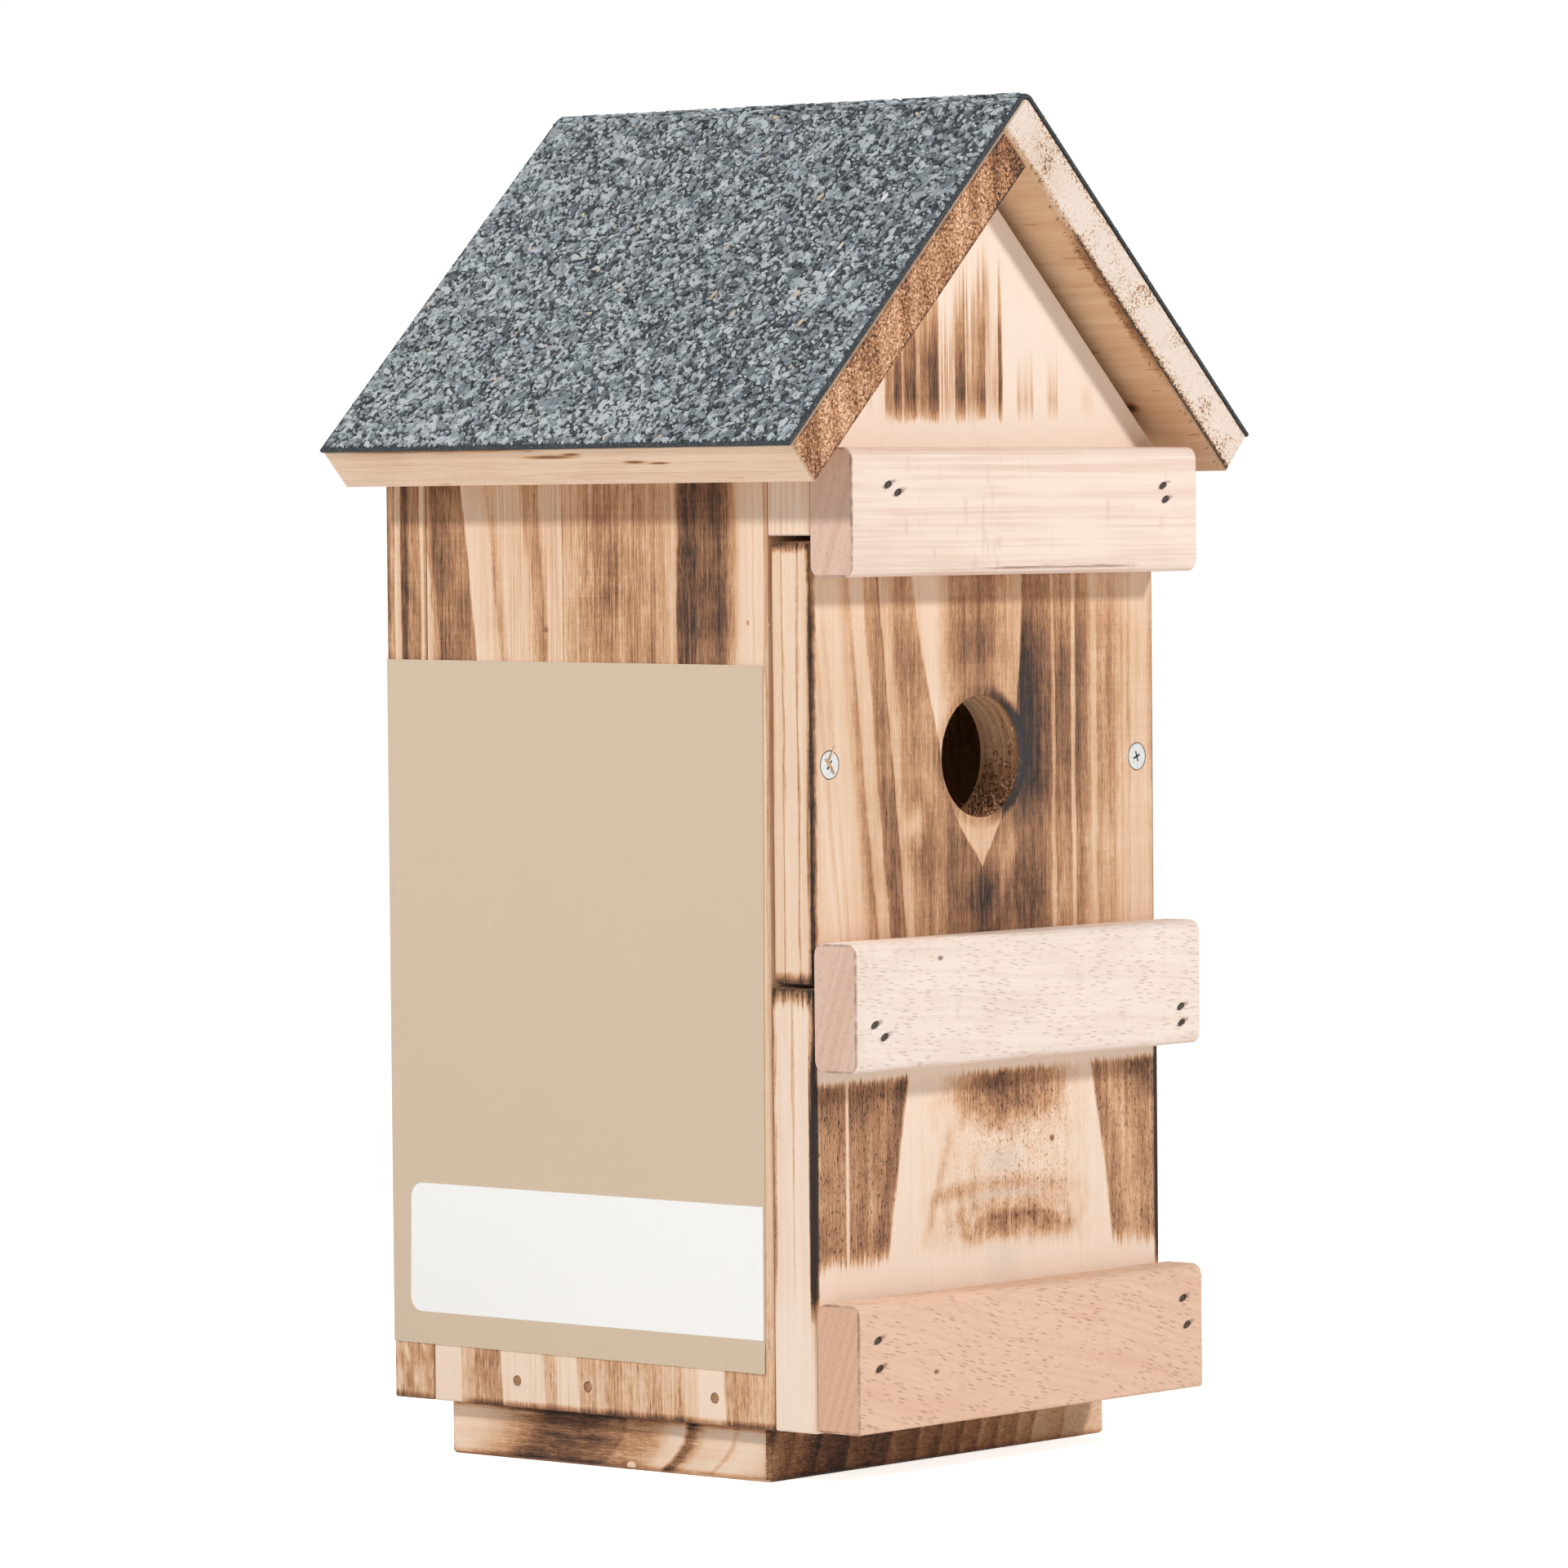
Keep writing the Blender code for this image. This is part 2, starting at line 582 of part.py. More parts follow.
def make_cross_cutter(name, place, turn):
    """A cross that narrows towards its bottom, cut into a screw's head from the front."""
    mesh_data = bmesh.new()
    rings = []
    for share, y in ((1, -CUT_OVERRUN), (RECESS_BOTTOM_SHARE, RECESS_DEPTH)):
        outline = cross_outline(RECESS_ARM * share, RECESS_SLOT * share)
        rings.append([mesh_data.verts.new((x, y, z)) for x, z in outline])
    count = len(rings[0])
    for step in range(count):
        after = (step + 1) % count
        mesh_data.faces.new([rings[0][step], rings[0][after], rings[1][after], rings[1][step]])
    mesh_data.faces.new(rings[0])
    mesh_data.faces.new(rings[1])
    cutter = as_cutter(new_object(name, mesh_data))
    cutter.location = place
    cutter.rotation_euler = (0, turn, 0)
    return cutter


def make_panel_screw(name, place_and_turn, panel, side_wall, material):
    """A countersunk screw through the panel, and the pilot hole for it in the side wall."""
    x, drop, turn = place_and_turn
    place = Vector((x, PANEL_FRONT_Y, PANEL_MIDDLE_Z - drop))
    head_end = SCREW_HEAD_RIM + SCREW_CONE_DEPTH
    profile = (
        (SCREW_HEAD_RADIUS, 0),
        (SCREW_HEAD_RADIUS, SCREW_HEAD_RIM),
        (SCREW_SHANK_RADIUS, head_end),
        (SCREW_SHANK_RADIUS, PANEL_THICKNESS),
    )
    screw = turned(name, profile, SCREW_SIDES, place, BACK, material)
    smooth(screw)
    cut_from(screw, make_cross_cutter("recess_of_" + name, place, turn))
    wide = SCREW_HEAD_RADIUS + JOINT_GAP
    narrow = SCREW_SHANK_RADIUS + JOINT_GAP
    hole = (
        (wide, -CUT_OVERRUN),
        (wide, SCREW_HEAD_RIM + JOINT_GAP),
        (narrow, head_end + JOINT_GAP),
        (narrow, PANEL_THICKNESS + CUT_OVERRUN),
    )
    cut_from(panel, as_cutter(turned("hole_of_" + name, hole, SCREW_SIDES, place, BACK)))
    pilot_place = Vector((x, SIDE_FRONT_Y, place.z))
    pilot = ((PILOT_RADIUS, -CUT_OVERRUN), (PILOT_RADIUS, PILOT_DEPTH))
    cut_from(side_wall, as_cutter(turned("pilot_of_" + name, pilot, PILOT_SIDES, pilot_place, BACK)))
    carry(screw, panel)
    return screw


def add_top_rail_nails(boards, material):
    for number, (along_share, height_share) in enumerate(TOP_RAIL_NAIL_SHARES, 1):
        x = LEFT_X + BODY_WIDTH * along_share
        point = Vector((x, RAIL_FRONT_Y, TOP_RAIL_Z + RAIL_HEIGHT * height_share))
        brad(f"rail_top_nail_{number}", point, SHORT_NAIL, boards, material)


def add_wall_rail_nails(name, low_z, side_shares, boards, walls, material):
    """Nails that pin a rail and the board behind it to the side walls, left side first."""
    number = 0
    for end_x, inward, shares, wall in zip((LEFT_X, RIGHT_X), (1, -1), side_shares, walls):
        for inset_share, height_share in shares:
            number += 1
            x = end_x + inward * SIDE_THICKNESS * inset_share
            point = Vector((x, RAIL_FRONT_Y, low_z + RAIL_HEIGHT * height_share))
            brad(f"{name}_nail_{number}", point, LONG_NAIL, boards + [wall], material)


def add_floor_nails(left_wall, right_wall, floor, material):
    height = BODY_Z + FLOOR_THICKNESS / 2
    for number, share in enumerate(FLOOR_NAIL_SHARES, 1):
        y = SIDE_FRONT_Y + SIDE_DEPTH * share
        left_point = Vector((LEFT_X, y, height))
        right_point = Vector((RIGHT_X, y, height))
        nail(f"floor_nail_left_{number}", left_point, RIGHT, LONG_NAIL, [left_wall, floor], material)
        nail(f"floor_nail_right_{number}", right_point, LEFT, LONG_NAIL, [right_wall, floor], material)


def add_back_nails(left_wall, right_wall, back_wall, material):
    outer_height = below_roof(LEFT_X, JOINT_GAP) - BODY_Z
    for number, share in enumerate(BACK_NAIL_SHARES, 1):
        z = BODY_Z + outer_height * share
        for side, x, wall in (
            ("left", LEFT_X + SIDE_THICKNESS / 2, left_wall),
            ("right", RIGHT_X - SIDE_THICKNESS / 2, right_wall),
        ):
            point = Vector((x, BACK_Y, z))
            nail(f"back_nail_{side}_{number}", point, FRONT, LONG_NAIL, [back_wall, wall], material)


def add_gable_nails(left_wall, right_wall, gable_board, material):
    """Hidden under the top rail, which is nailed on after them."""
    straight_side = below_roof(LEFT_X, GABLE_AIR_GAP) - GABLE_Z
    for number, share in enumerate(GABLE_NAIL_SHARES, 1):
        z = GABLE_Z + straight_side * share
        for side, x, wall in (
            ("left", LEFT_X + SIDE_THICKNESS / 2, left_wall),
            ("right", RIGHT_X - SIDE_THICKNESS / 2, right_wall),
        ):
            point = Vector((x, FRONT_Y, z))
            nail(f"gable_nail_{side}_{number}", point, BACK, SHORT_NAIL, [gable_board, wall], material)


def add_base_nails(base, floor, material):
    number = 0
    low_x = LEFT_X + BASE_LEFT_INSET
    low_y = FRONT_Y + BASE_FRONT_INSET
    for width_share in BASE_NAIL_WIDTH_SHARES:
        for depth_share in BASE_NAIL_DEPTH_SHARES:
            number += 1
            point = Vector((low_x + BASE_WIDTH * width_share, low_y + BASE_DEPTH * depth_share, 0))
            nail(f"base_nail_{number}", point, UP, SHORT_NAIL, [base, floor], material)


def add_roof_nails(side_name, side, board, wall, material):
    """Square to the slope, through a roof board into the bevelled top of a side wall."""
    out = slope_frame(side)[1]
    outer_x = LEFT_X if side < 0 else RIGHT_X
    entry_x = outer_x - side * SIDE_THICKNESS * ROOF_NAIL_ENTRY_SHARE
    entry = Vector((entry_x, 0, below_roof(entry_x, 0)))
    for number, share in enumerate(ROOF_NAIL_SHARES, 1):
        point = entry + out * ROOF_THICKNESS + BACK * (SIDE_FRONT_Y + SIDE_DEPTH * share)
        nail(f"roof_nail_{side_name}_{number}", point, -out, ROOF_NAIL, [board, wall], material)


def add_ridge_nails(right_board, left_board, material):
    """Square to the right slope, into the end of the left board."""
    down, out = slope_frame(1)
    start = ridge_point() - down * (ROOF_THICKNESS / 2) + out * ROOF_THICKNESS
    for number, share in enumerate(RIDGE_NAIL_SHARES, 1):
        point = start + BACK * (ROOF_FRONT_Y + ROOF_DEPTH * share)
        nail(f"ridge_nail_{number}", point, -out, LONG_NAIL, [right_board, left_board], material)


def main():
    clear_scene()
    flamed = finish("flamed_softwood", (0.62, 0.43, 0.26), 0.7)
    raw = finish("raw_roof_wood", (0.70, 0.52, 0.36), 0.75)
    charred = finish("charred_base_wood", (0.42, 0.26, 0.15), 0.75)
    beech = finish("beech", (0.80, 0.62, 0.50), 0.6)
    slate = finish("slate_felt", (0.15, 0.18, 0.20), 0.85)
    steel = finish("nail_steel", (0.30, 0.30, 0.30), 0.5, 1.0)
    zinc = finish("zinc_plated_steel", (0.72, 0.74, 0.76), 0.35, 1.0)

    left_wall = make_side_wall("side_wall_left", LEFT_X, LEFT_X + SIDE_THICKNESS, flamed)
    right_wall = make_side_wall("side_wall_right", RIGHT_X, RIGHT_X - SIDE_THICKNESS, flamed)
    back_wall = make_back_wall(flamed)
    floor = make_floor_board(flamed)
    base = make_base_board(charred)
    lower_board = make_lower_front_board(flamed)
    gable_board = make_front_gable_board(flamed)
    panel = make_front_panel(flamed)

    all_round = (RAIL_ROUND,) * 4
    square_foot = (RAIL_SMALL_ROUND, RAIL_SMALL_ROUND, RAIL_ROUND, RAIL_ROUND)
    top_rail = make_rail("rail_top", TOP_RAIL_Z, all_round, beech)
    middle_rail = make_rail("rail_middle", MIDDLE_RAIL_Z, all_round, beech)
    bottom_rail = make_rail("rail_bottom", BOTTOM_RAIL_Z, square_foot, beech)

    left_roof = make_roof_board_left(raw)
    right_roof = make_roof_board_right(raw)
    make_roofing_felt(slate)

    left_place = (LEFT_X + SCREW_EDGE_INSET, LEFT_SCREW_DROP, LEFT_RECESS_TURN)
    right_place = (RIGHT_X - SCREW_EDGE_INSET, RIGHT_SCREW_DROP, RIGHT_RECESS_TURN)
    make_panel_screw("panel_screw_left", left_place, panel, left_wall, zinc)
    make_panel_screw("panel_screw_right", right_place, panel, right_wall, zinc)

    add_top_rail_nails([top_rail, gable_board, left_wall, right_wall], steel)
    walls = (left_wall, right_wall)
    middle_shares = (MIDDLE_RAIL_LEFT_SHARES, MIDDLE_RAIL_RIGHT_SHARES)
    bottom_shares = (BOTTOM_RAIL_LEFT_SHARES, BOTTOM_RAIL_RIGHT_SHARES)
    middle_boards = [middle_rail, lower_board]
    bottom_boards = [bottom_rail, lower_board]
    add_wall_rail_nails("rail_middle", MIDDLE_RAIL_Z, middle_shares, middle_boards, walls, steel)
    add_wall_rail_nails("rail_bottom", BOTTOM_RAIL_Z, bottom_shares, bottom_boards, walls, steel)
    add_floor_nails(left_wall, right_wall, floor, steel)
    add_back_nails(left_wall, right_wall, back_wall, steel)
    add_gable_nails(left_wall, right_wall, gable_board, steel)
    add_base_nails(base, floor, steel)
    add_roof_nails("left", -1, left_roof, left_wall, steel)
    add_roof_nails("right", 1, right_roof, right_wall, steel)
    add_ridge_nails(right_roof, left_roof, steel)


main()
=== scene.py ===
import math

import bmesh
import bpy
import numpy as np
from bpy.props import FloatProperty, FloatVectorProperty, IntProperty, PointerProperty
from mathutils import Matrix, Vector


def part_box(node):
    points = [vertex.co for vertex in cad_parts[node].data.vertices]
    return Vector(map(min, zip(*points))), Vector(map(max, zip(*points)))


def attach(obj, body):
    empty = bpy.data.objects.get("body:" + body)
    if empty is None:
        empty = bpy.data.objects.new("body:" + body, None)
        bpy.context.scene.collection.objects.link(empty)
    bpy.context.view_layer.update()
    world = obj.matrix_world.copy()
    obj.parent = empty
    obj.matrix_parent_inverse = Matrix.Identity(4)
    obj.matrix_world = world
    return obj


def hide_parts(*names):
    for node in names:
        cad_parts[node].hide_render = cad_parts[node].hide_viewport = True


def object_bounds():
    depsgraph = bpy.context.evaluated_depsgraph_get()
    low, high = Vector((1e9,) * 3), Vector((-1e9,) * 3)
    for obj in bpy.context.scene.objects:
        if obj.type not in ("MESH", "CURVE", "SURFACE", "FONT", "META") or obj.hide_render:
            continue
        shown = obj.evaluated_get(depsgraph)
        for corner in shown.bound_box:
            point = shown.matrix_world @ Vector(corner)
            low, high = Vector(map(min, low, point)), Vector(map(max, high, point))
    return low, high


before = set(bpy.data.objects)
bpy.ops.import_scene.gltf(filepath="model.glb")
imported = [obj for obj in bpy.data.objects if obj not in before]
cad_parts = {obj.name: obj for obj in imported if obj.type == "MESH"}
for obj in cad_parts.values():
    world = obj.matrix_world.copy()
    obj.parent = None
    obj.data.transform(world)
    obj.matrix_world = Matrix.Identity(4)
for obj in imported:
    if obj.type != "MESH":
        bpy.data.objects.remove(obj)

CAD_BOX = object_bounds()

bl_info = {
    "name": "Bird nest box",
    "version": (1, 0, 0),
    "blender": (4, 5, 0),
    "location": "3D View > Sidebar > Nest Box",
    "description": "Gives the packed nest box its flamed wood, slate felt, card, light and camera",
    "category": "Object",
}

# The box's own corner: left face, front boards' face and underside. Patterns are drawn in
# millimetres from here: x to the right, y to the back, z up. RIDGE is where the undersides of the
# two roof boards meet.
MM = 0.001
CORNER = Vector((
    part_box("side_wall_left")[0].x,
    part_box("lower_front_board")[0].y,
    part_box("side_wall_left")[0].z,
))
BODY_WIDTH = 142.0
BODY_DEPTH = 148.2
HOLE_X = 68.4
HOLE_Z = 171.1
ROOF_PITCH = math.radians(43.6)
ROOF_FRONT = -15.0
RIDGE = Vector((71.0, 0, 324.3))


def from_corner(x, y, z):
    """A place given in millimetres from the box's corner, in metres."""
    return CORNER + Vector((x, y, z)) * MM


def middle_of(name):
    """The middle of a CAD node, in millimetres from the box's corner."""
    low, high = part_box(name)
    return ((low + high) / 2 - CORNER) / MM


def towards(azimuth, elevation):
    """The direction for a turn round the box from its front and a height above the level."""
    level = math.cos(elevation)
    return Vector((math.sin(azimuth) * level, -math.cos(azimuth) * level, math.sin(elevation)))


def screen(red, green, blue):
    """A colour as a screen shows it, 0 to 255, as the linear colour that Blender takes."""
    def linear(part):
        part = part / 255
        return part / 12.92 if part <= 0.04045 else ((part + 0.055) / 1.055) ** 2.4
    return (linear(red), linear(green), linear(blue))


def colour(name, description, red, green, blue):
    return FloatVectorProperty(
        name=name, description=description, subtype="COLOR", size=3, min=0, max=1,
        default=screen(red, green, blue),
    )


def length(name, description, default):
    return FloatProperty(name=name, description=description, default=default, min=0, unit="LENGTH")


def amount(name, description, default, most=10.0):
    return FloatProperty(name=name, description=description, default=default, min=0, max=most)


def angle(name, description, degrees):
    return FloatProperty(
        name=name, description=description, subtype="ANGLE", default=math.radians(degrees),
    )


class NestBoxColours(bpy.types.PropertyGroup):
    """The colours of every finish."""

    raw: colour("Raw softwood", "Wood that the flame missed", 246, 223, 202)
    warm: colour("Warm softwood", "Wood that the flame only warmed", 233, 197, 165)
    toasted: colour("Toasted softwood", "Lightly flamed wood", 208, 161, 122)
    brown: colour("Brown softwood", "Flamed wood", 166, 120, 87)
    dark: colour("Dark softwood", "Strongly flamed wood", 110, 78, 59)
    char: colour("Char", "Burnt wood", 48, 39, 35)
    soot: colour("Soot", "Blue-black burn beside the entrance hole", 66, 64, 68)
    end_grain: colour("Scorched end grain", "Front end of the left roof board", 190, 138, 98)
    pale_end: colour("Pale end grain", "Front end of the right roof board", 240, 224, 212)
    roof_wood: colour("Roof board", "Faces of the roof boards", 247, 219, 193)
    beech: colour("Beech", "Pale beech of the upper rails", 249, 228, 214)
    red_beech: colour("Red beech", "Redder beech of the lowest rail", 236, 199, 173)
    beech_end: colour("Beech end", "Sawn ends of the rails", 228, 197, 179)
    fleck: colour("Beech fleck", "Short dark rays in beech", 164, 124, 100)
    bitumen: colour("Bitumen", "The felt between the chips", 40, 44, 48)
    slate_dark: colour("Dark slate", "Darkest slate chips", 92, 101, 108)
    slate_pale: colour("Pale slate", "Palest slate chips", 196, 204, 209)
    slate_odd: colour("Odd chip", "The few tan chips", 205, 188, 162)
    zinc: colour("Zinc", "Plating of the panel screws", 208, 209, 206)
    steel: colour("Nail steel", "Nail heads", 84, 76, 70)
    card: colour("Card", "The plain card on the left wall", 216, 196, 172)
    blank: colour("Blank panel", "White rounded panel on the card", 252, 252, 251)
    floor: colour("Floor", "The studio floor", 250, 250, 250)


class NestBoxSizes(bpy.types.PropertyGroup):
    """The sizes of the pieces that are made here."""

    felt_thickness: length("Felt", "Thickness of the felt without its chips", 0.0011)
    felt_build: length("Felt and chips", "Height of the felt with its chips", 0.0018)
    chip_length: length("Chip length", "Length of a common slate chip", 0.0022)
    chip_width: length("Chip width", "Width of a common slate chip", 0.00145)
    chip_thickness: length("Chip thickness", "Thickness of a slate chip", 0.00038)
    chip_spacing: length("Chip spacing", "Distance from chip to chip along the ridge", 0.00125)
    chip_rows: length("Chip rows", "Distance from row to row down the slope", 0.0009)
    card_thickness: length("Card", "Thickness of the card", 0.00035)
    blank_thickness: length("Blank panel", "Thickness of the white panel's layer", 0.00006)
    blank_round: length("Blank panel round", "Radius of the white panel's corners", 0.004)
    seed: IntProperty(name="Seed", description="Start of the random draws", default=7, min=0)


class NestBoxLight(bpy.types.PropertyGroup):
    """The studio: lamps, surroundings and camera."""

    left_power: amount("Left lamp", "Power of the softbox that lights the left wall", 13.2, 500)
    front_power: amount("Front lamp", "Power of the softbox that lights the front", 14.0, 500)
    surround: amount("Surroundings", "Strength of the plain surroundings", 0.33)
    softbox: length("Softbox", "Side of a softbox", 0.17)
    reach: length("Lamp distance", "Distance of the softboxes from the box", 1.7)
    floor_lift: amount("Floor lift", "What the camera sees added to the floor", 0.75)
    azimuth: angle("Azimuth", "Camera's direction round the box", -49.2372)
    elevation: angle("Elevation", "Camera's height above the level", 1.9853)
    roll: angle("Roll", "Camera's turn about its own line of sight", -0.5247)
    distance: length("Distance", "Camera's distance from its target", 2.14848)
    lens: amount("Lens", "Focal length on a 36 mm sensor, in millimetres", 181.9275, 500)


# How far a pattern moves for each step of its seed, in millimetres.
SEED_STEPS = (31.7, 17.3, 23.9)


class Signal:
    """A number that varies over a surface. Arithmetic with it adds Math nodes."""

    def __init__(self, finish, socket):
        self.finish = finish
        self.socket = socket

    def __add__(self, other):
        return self.finish.math("ADD", self, other)

    def __sub__(self, other):
        return self.finish.math("SUBTRACT", self, other)

    def __rsub__(self, other):
        return self.finish.math("SUBTRACT", other, self)

    def __mul__(self, other):
        return self.finish.math("MULTIPLY", self, other)

    def __truediv__(self, other):
        return self.finish.math("DIVIDE", self, other)

    def __abs__(self):
        return self.finish.math("ABSOLUTE", self)

    __radd__ = __add__
    __rmul__ = __mul__

    def root(self):
        return self.finish.math("SQRT", self)

    def least(self, other):
        return self.finish.math("MINIMUM", self, other)

    def most(self, other):
        return self.finish.math("MAXIMUM", self, other)

    def sway(self, reach):
        """Turns a value from 0 to 1 into one that sways about 0 over the reach."""
        return (self - 0.5) * reach

    def rise(self, low, high):
        """0 below low and 1 above high, with a smooth rise between; falls where high is lower."""
        node = self.finish.node("ShaderNodeMapRange")
        node.interpolation_type = "SMOOTHSTEP"
        self.finish.feed(node.inputs["Value"], self)
        down = high < low
        node.inputs["From Min"].default_value = min(low, high)
        node.inputs["From Max"].default_value = max(low, high)
        node.inputs["To Min"].default_value = 1.0 if down else 0.0
        node.inputs["To Max"].default_value = 0.0 if down else 1.0
        return Signal(self.finish, node.outputs["Result"])

    def between(self, low, high, soft):
        """1 between low and high, with soft ends."""
        return self.rise(low - soft, low + soft) * self.rise(high + soft, high - soft)


class Finish:
    """Builds one material. Its x, y and z are millimetres from the box's corner."""

    def __init__(self, name):
        self.material = bpy.data.materials.new(name)
        self.material.use_nodes = True
        self.tree = self.material.node_tree
        self.shader = self.tree.nodes["Principled BSDF"]
        where = self.node("ShaderNodeTexCoord")
        corner = self.node("ShaderNodeVectorMath", operation="SUBTRACT")
        self.tree.links.new(where.outputs["Object"], corner.inputs[0])
        corner.inputs[1].default_value = CORNER
        scaled = self.node("ShaderNodeVectorMath", operation="SCALE")
        self.tree.links.new(corner.outputs[0], scaled.inputs[0])
        scaled.inputs["Scale"].default_value = 1 / MM
        self.place = scaled.outputs[0]
        self.x, self.y, self.z = self.parts(self.place)
        self.facing_x, self.facing_y, self.facing_z = self.parts(where.outputs["Normal"])

    def node(self, kind, **settings):
        node = self.tree.nodes.new(kind)
        for name, value in settings.items():
            setattr(node, name, value)
        return node

    def feed(self, socket, value):
        """Links a signal or a socket to an input, or sets the input's own colour or number."""
        if isinstance(value, Signal):
            self.tree.links.new(value.socket, socket)
        elif isinstance(value, bpy.types.NodeSocket):
            self.tree.links.new(value, socket)
        elif isinstance(value, (tuple, list)) or hasattr(value, "r"):
            socket.default_value = (*value[:3], 1)
        else:
            socket.default_value = value

    def parts(self, vector):
        node = self.node("ShaderNodeSeparateXYZ")
        self.tree.links.new(vector, node.inputs[0])
        return [Signal(self, output) for output in node.outputs]

    def math(self, operation, first, second=None):
        node = self.node("ShaderNodeMath", operation=operation)
        self.feed(node.inputs[0], first)
        if second is not None:
            self.feed(node.inputs[1], second)
        return Signal(self, node.outputs[0])

    def joined(self, across, along=0.0, through=0.0):
        """A vector put together from signals or numbers."""
        node = self.node("ShaderNodeCombineXYZ")
        for socket, value in zip(node.inputs, (across, along, through)):
            self.feed(socket, value)
        return node.outputs[0]

    def stretched(self, kind, sizes, seed, vector, **settings):
        """A texture node that reads the place, or a vector, moved by the seed and stretched."""
        shift = self.node("ShaderNodeVectorMath", operation="ADD")
        self.tree.links.new(vector or self.place, shift.inputs[0])
        shift.inputs[1].default_value = [seed * step for step in SEED_STEPS]
        stretch = self.node("ShaderNodeVectorMath", operation="DIVIDE")
        self.tree.links.new(shift.outputs[0], stretch.inputs[0])
        stretch.inputs[1].default_value = sizes
        node = self.node(kind, **settings)
        self.tree.links.new(stretch.outputs[0], node.inputs["Vector"])
        node.inputs["Scale"].default_value = 1.0
        return node

    def noise(self, sizes, detail, seed, rough=0.5, vector=None):
        """Soft random values from 0 to 1. Sizes are the blobs' three lengths in millimetres."""
        node = self.stretched("ShaderNodeTexNoise", sizes, seed, vector)
        node.inputs["Detail"].default_value = detail
        node.inputs["Roughness"].default_value = rough
        return Signal(self, node.outputs[0])

    def flecks(self, sizes, seed, vector):
        """Distance from the middle of scattered long spots, 0 at a middle."""
        node = self.stretched("ShaderNodeTexVoronoi", sizes, seed, vector, voronoi_dimensions="2D")
        return Signal(self, node.outputs["Distance"])

    def ramp(self, signal, stops):
        """A ramp of colours or of plain levels over 0 to 1."""
        node = self.node("ShaderNodeValToRGB")
        node.color_ramp.interpolation = "LINEAR"
        self.feed(node.inputs[0], signal)
        elements = node.color_ramp.elements
        while len(elements) < len(stops):
            elements.new(1.0)
        for element, (position, _) in zip(elements, stops):
            element.position = position
        for element, (_, value) in zip(elements, stops):
            plain = isinstance(value, (int, float))
            element.color = (value, value, value, 1) if plain else (*value[:3], 1)
        return node.outputs[0]

    def bands(self, signal, table):
        """Levels at places in millimetres, joined by straight lines."""
        low = table[0][0]
        span = table[-1][0] - low
        stops = [((place - low) / span, level) for place, level in table]
        return Signal(self, self.ramp((signal - low) / span, stops))

    def spot(self, across, along, middle, halves, soft):
        """1 in an ellipse and 0 outside it."""
        wide = (across - middle[0]) / halves[0]
        high = (along - middle[1]) / halves[1]
        return (wide * wide + high * high).root().rise(1 + soft, 1 - soft)

    def spots(self, across, along, table):
        """The sum of spots. Each row: middle, half sizes, softness, level."""
        return sum(self.spot(across, along, *row) * level for *row, level in table)

    def mix(self, share, first, second, kind="MIX"):
        """Blends two colours."""
        node = self.node("ShaderNodeMix", data_type="RGBA", blend_type=kind)
        self.feed(node.inputs[0], share)
        self.feed(node.inputs[6], first)
        self.feed(node.inputs[7], second)
        return node.outputs[2]

    def filtered(self, shown, factors):
        """Multiplies a colour's red, green and blue, each by its own factor."""
        return self.mix(1.0, shown, factors, "MULTIPLY")

    def shade(self, shown, level):
        """Multiplies a colour by a level about 1."""
        node = self.node("ShaderNodeVectorMath", operation="SCALE")
        self.tree.links.new(shown, node.inputs[0])
        self.feed(node.inputs["Scale"], level)
        return node.outputs[0]

    def complete(self, shown, roughness, height, depth, strength, metallic=0.0, specular=0.3):
        """Puts colour, roughness and relief on the shader and gives the material back."""
        self.feed(self.shader.inputs["Base Color"], shown)
        self.feed(self.shader.inputs["Roughness"], roughness)
        self.shader.inputs["Metallic"].default_value = metallic
        self.shader.inputs["Specular IOR Level"].default_value = specular
        bump = self.node("ShaderNodeBump")
        bump.inputs["Strength"].default_value = strength
        bump.inputs["Distance"].default_value = depth
        self.feed(bump.inputs["Height"], height)
        self.tree.links.new(bump.outputs[0], self.shader.inputs["Normal"])
        return self.material


def flamed(finish, burn, axis, seed, tint=None, specks=0.5):
    """Softwood under a flame: colours a burn level from 0 to 1, with fibres, dashes and specks."""
    colours = bpy.context.scene.nest_box_colours

    def grain(across, along, detail, step, rough=0.5):
        sizes = tuple(along if letter == axis else across for letter in "xyz")
        return finish.noise(sizes, detail, seed + step, rough)

    fibre = grain(0.36, 9, 3, 0, rough=0.7)
    ring = grain(0.9, 160, 3, 1, rough=0.6)
    streak = grain(1.7, 34, 3, 5)
    dash = grain(0.3, 2.4, 2, 2, rough=0.6)
    cloud = grain(11, 11, 3, 3)
    ripple = grain(40, 0.75, 1, 4)
    speck = grain(0.42, 1.5, 1, 6).rise(0.58, 0.7)
    lively = burn.rise(0.05, 0.42)
    burn = burn + fibre.sway(0.16 + 0.72 * lively) + streak.sway(0.10 + 0.42 * lively)
    burn = burn + dash.sway(0.05 + 0.46 * lively) + cloud.sway(0.06 + 0.34 * lively)
    burn = burn + ring.sway(0.16 + 0.2 * lively) + ripple.sway(0.02 + 0.08 * lively)
    burn = burn + speck * lively * 0.22 * specks
    shown = finish.ramp(burn, [
        (0.0, colours.raw), (0.13, colours.warm), (0.3, colours.toasted),
        (0.54, colours.brown), (0.78, colours.dark), (1.0, colours.char),
    ])
    shown = finish.shade(shown, 0.92 + 0.16 * fibre)
    if tint:
        shown = tint(shown)
    relief = fibre * 0.6 + dash * 0.3 + ripple * 0.1
    return finish.complete(shown, 0.62 + 0.2 * burn.least(1), relief, 0.00018, 0.6)


def choose(mask, here, elsewhere):
    """here where the mask is 1, and elsewhere where it is 0."""
    return elsewhere + (here - elsewhere) * mask


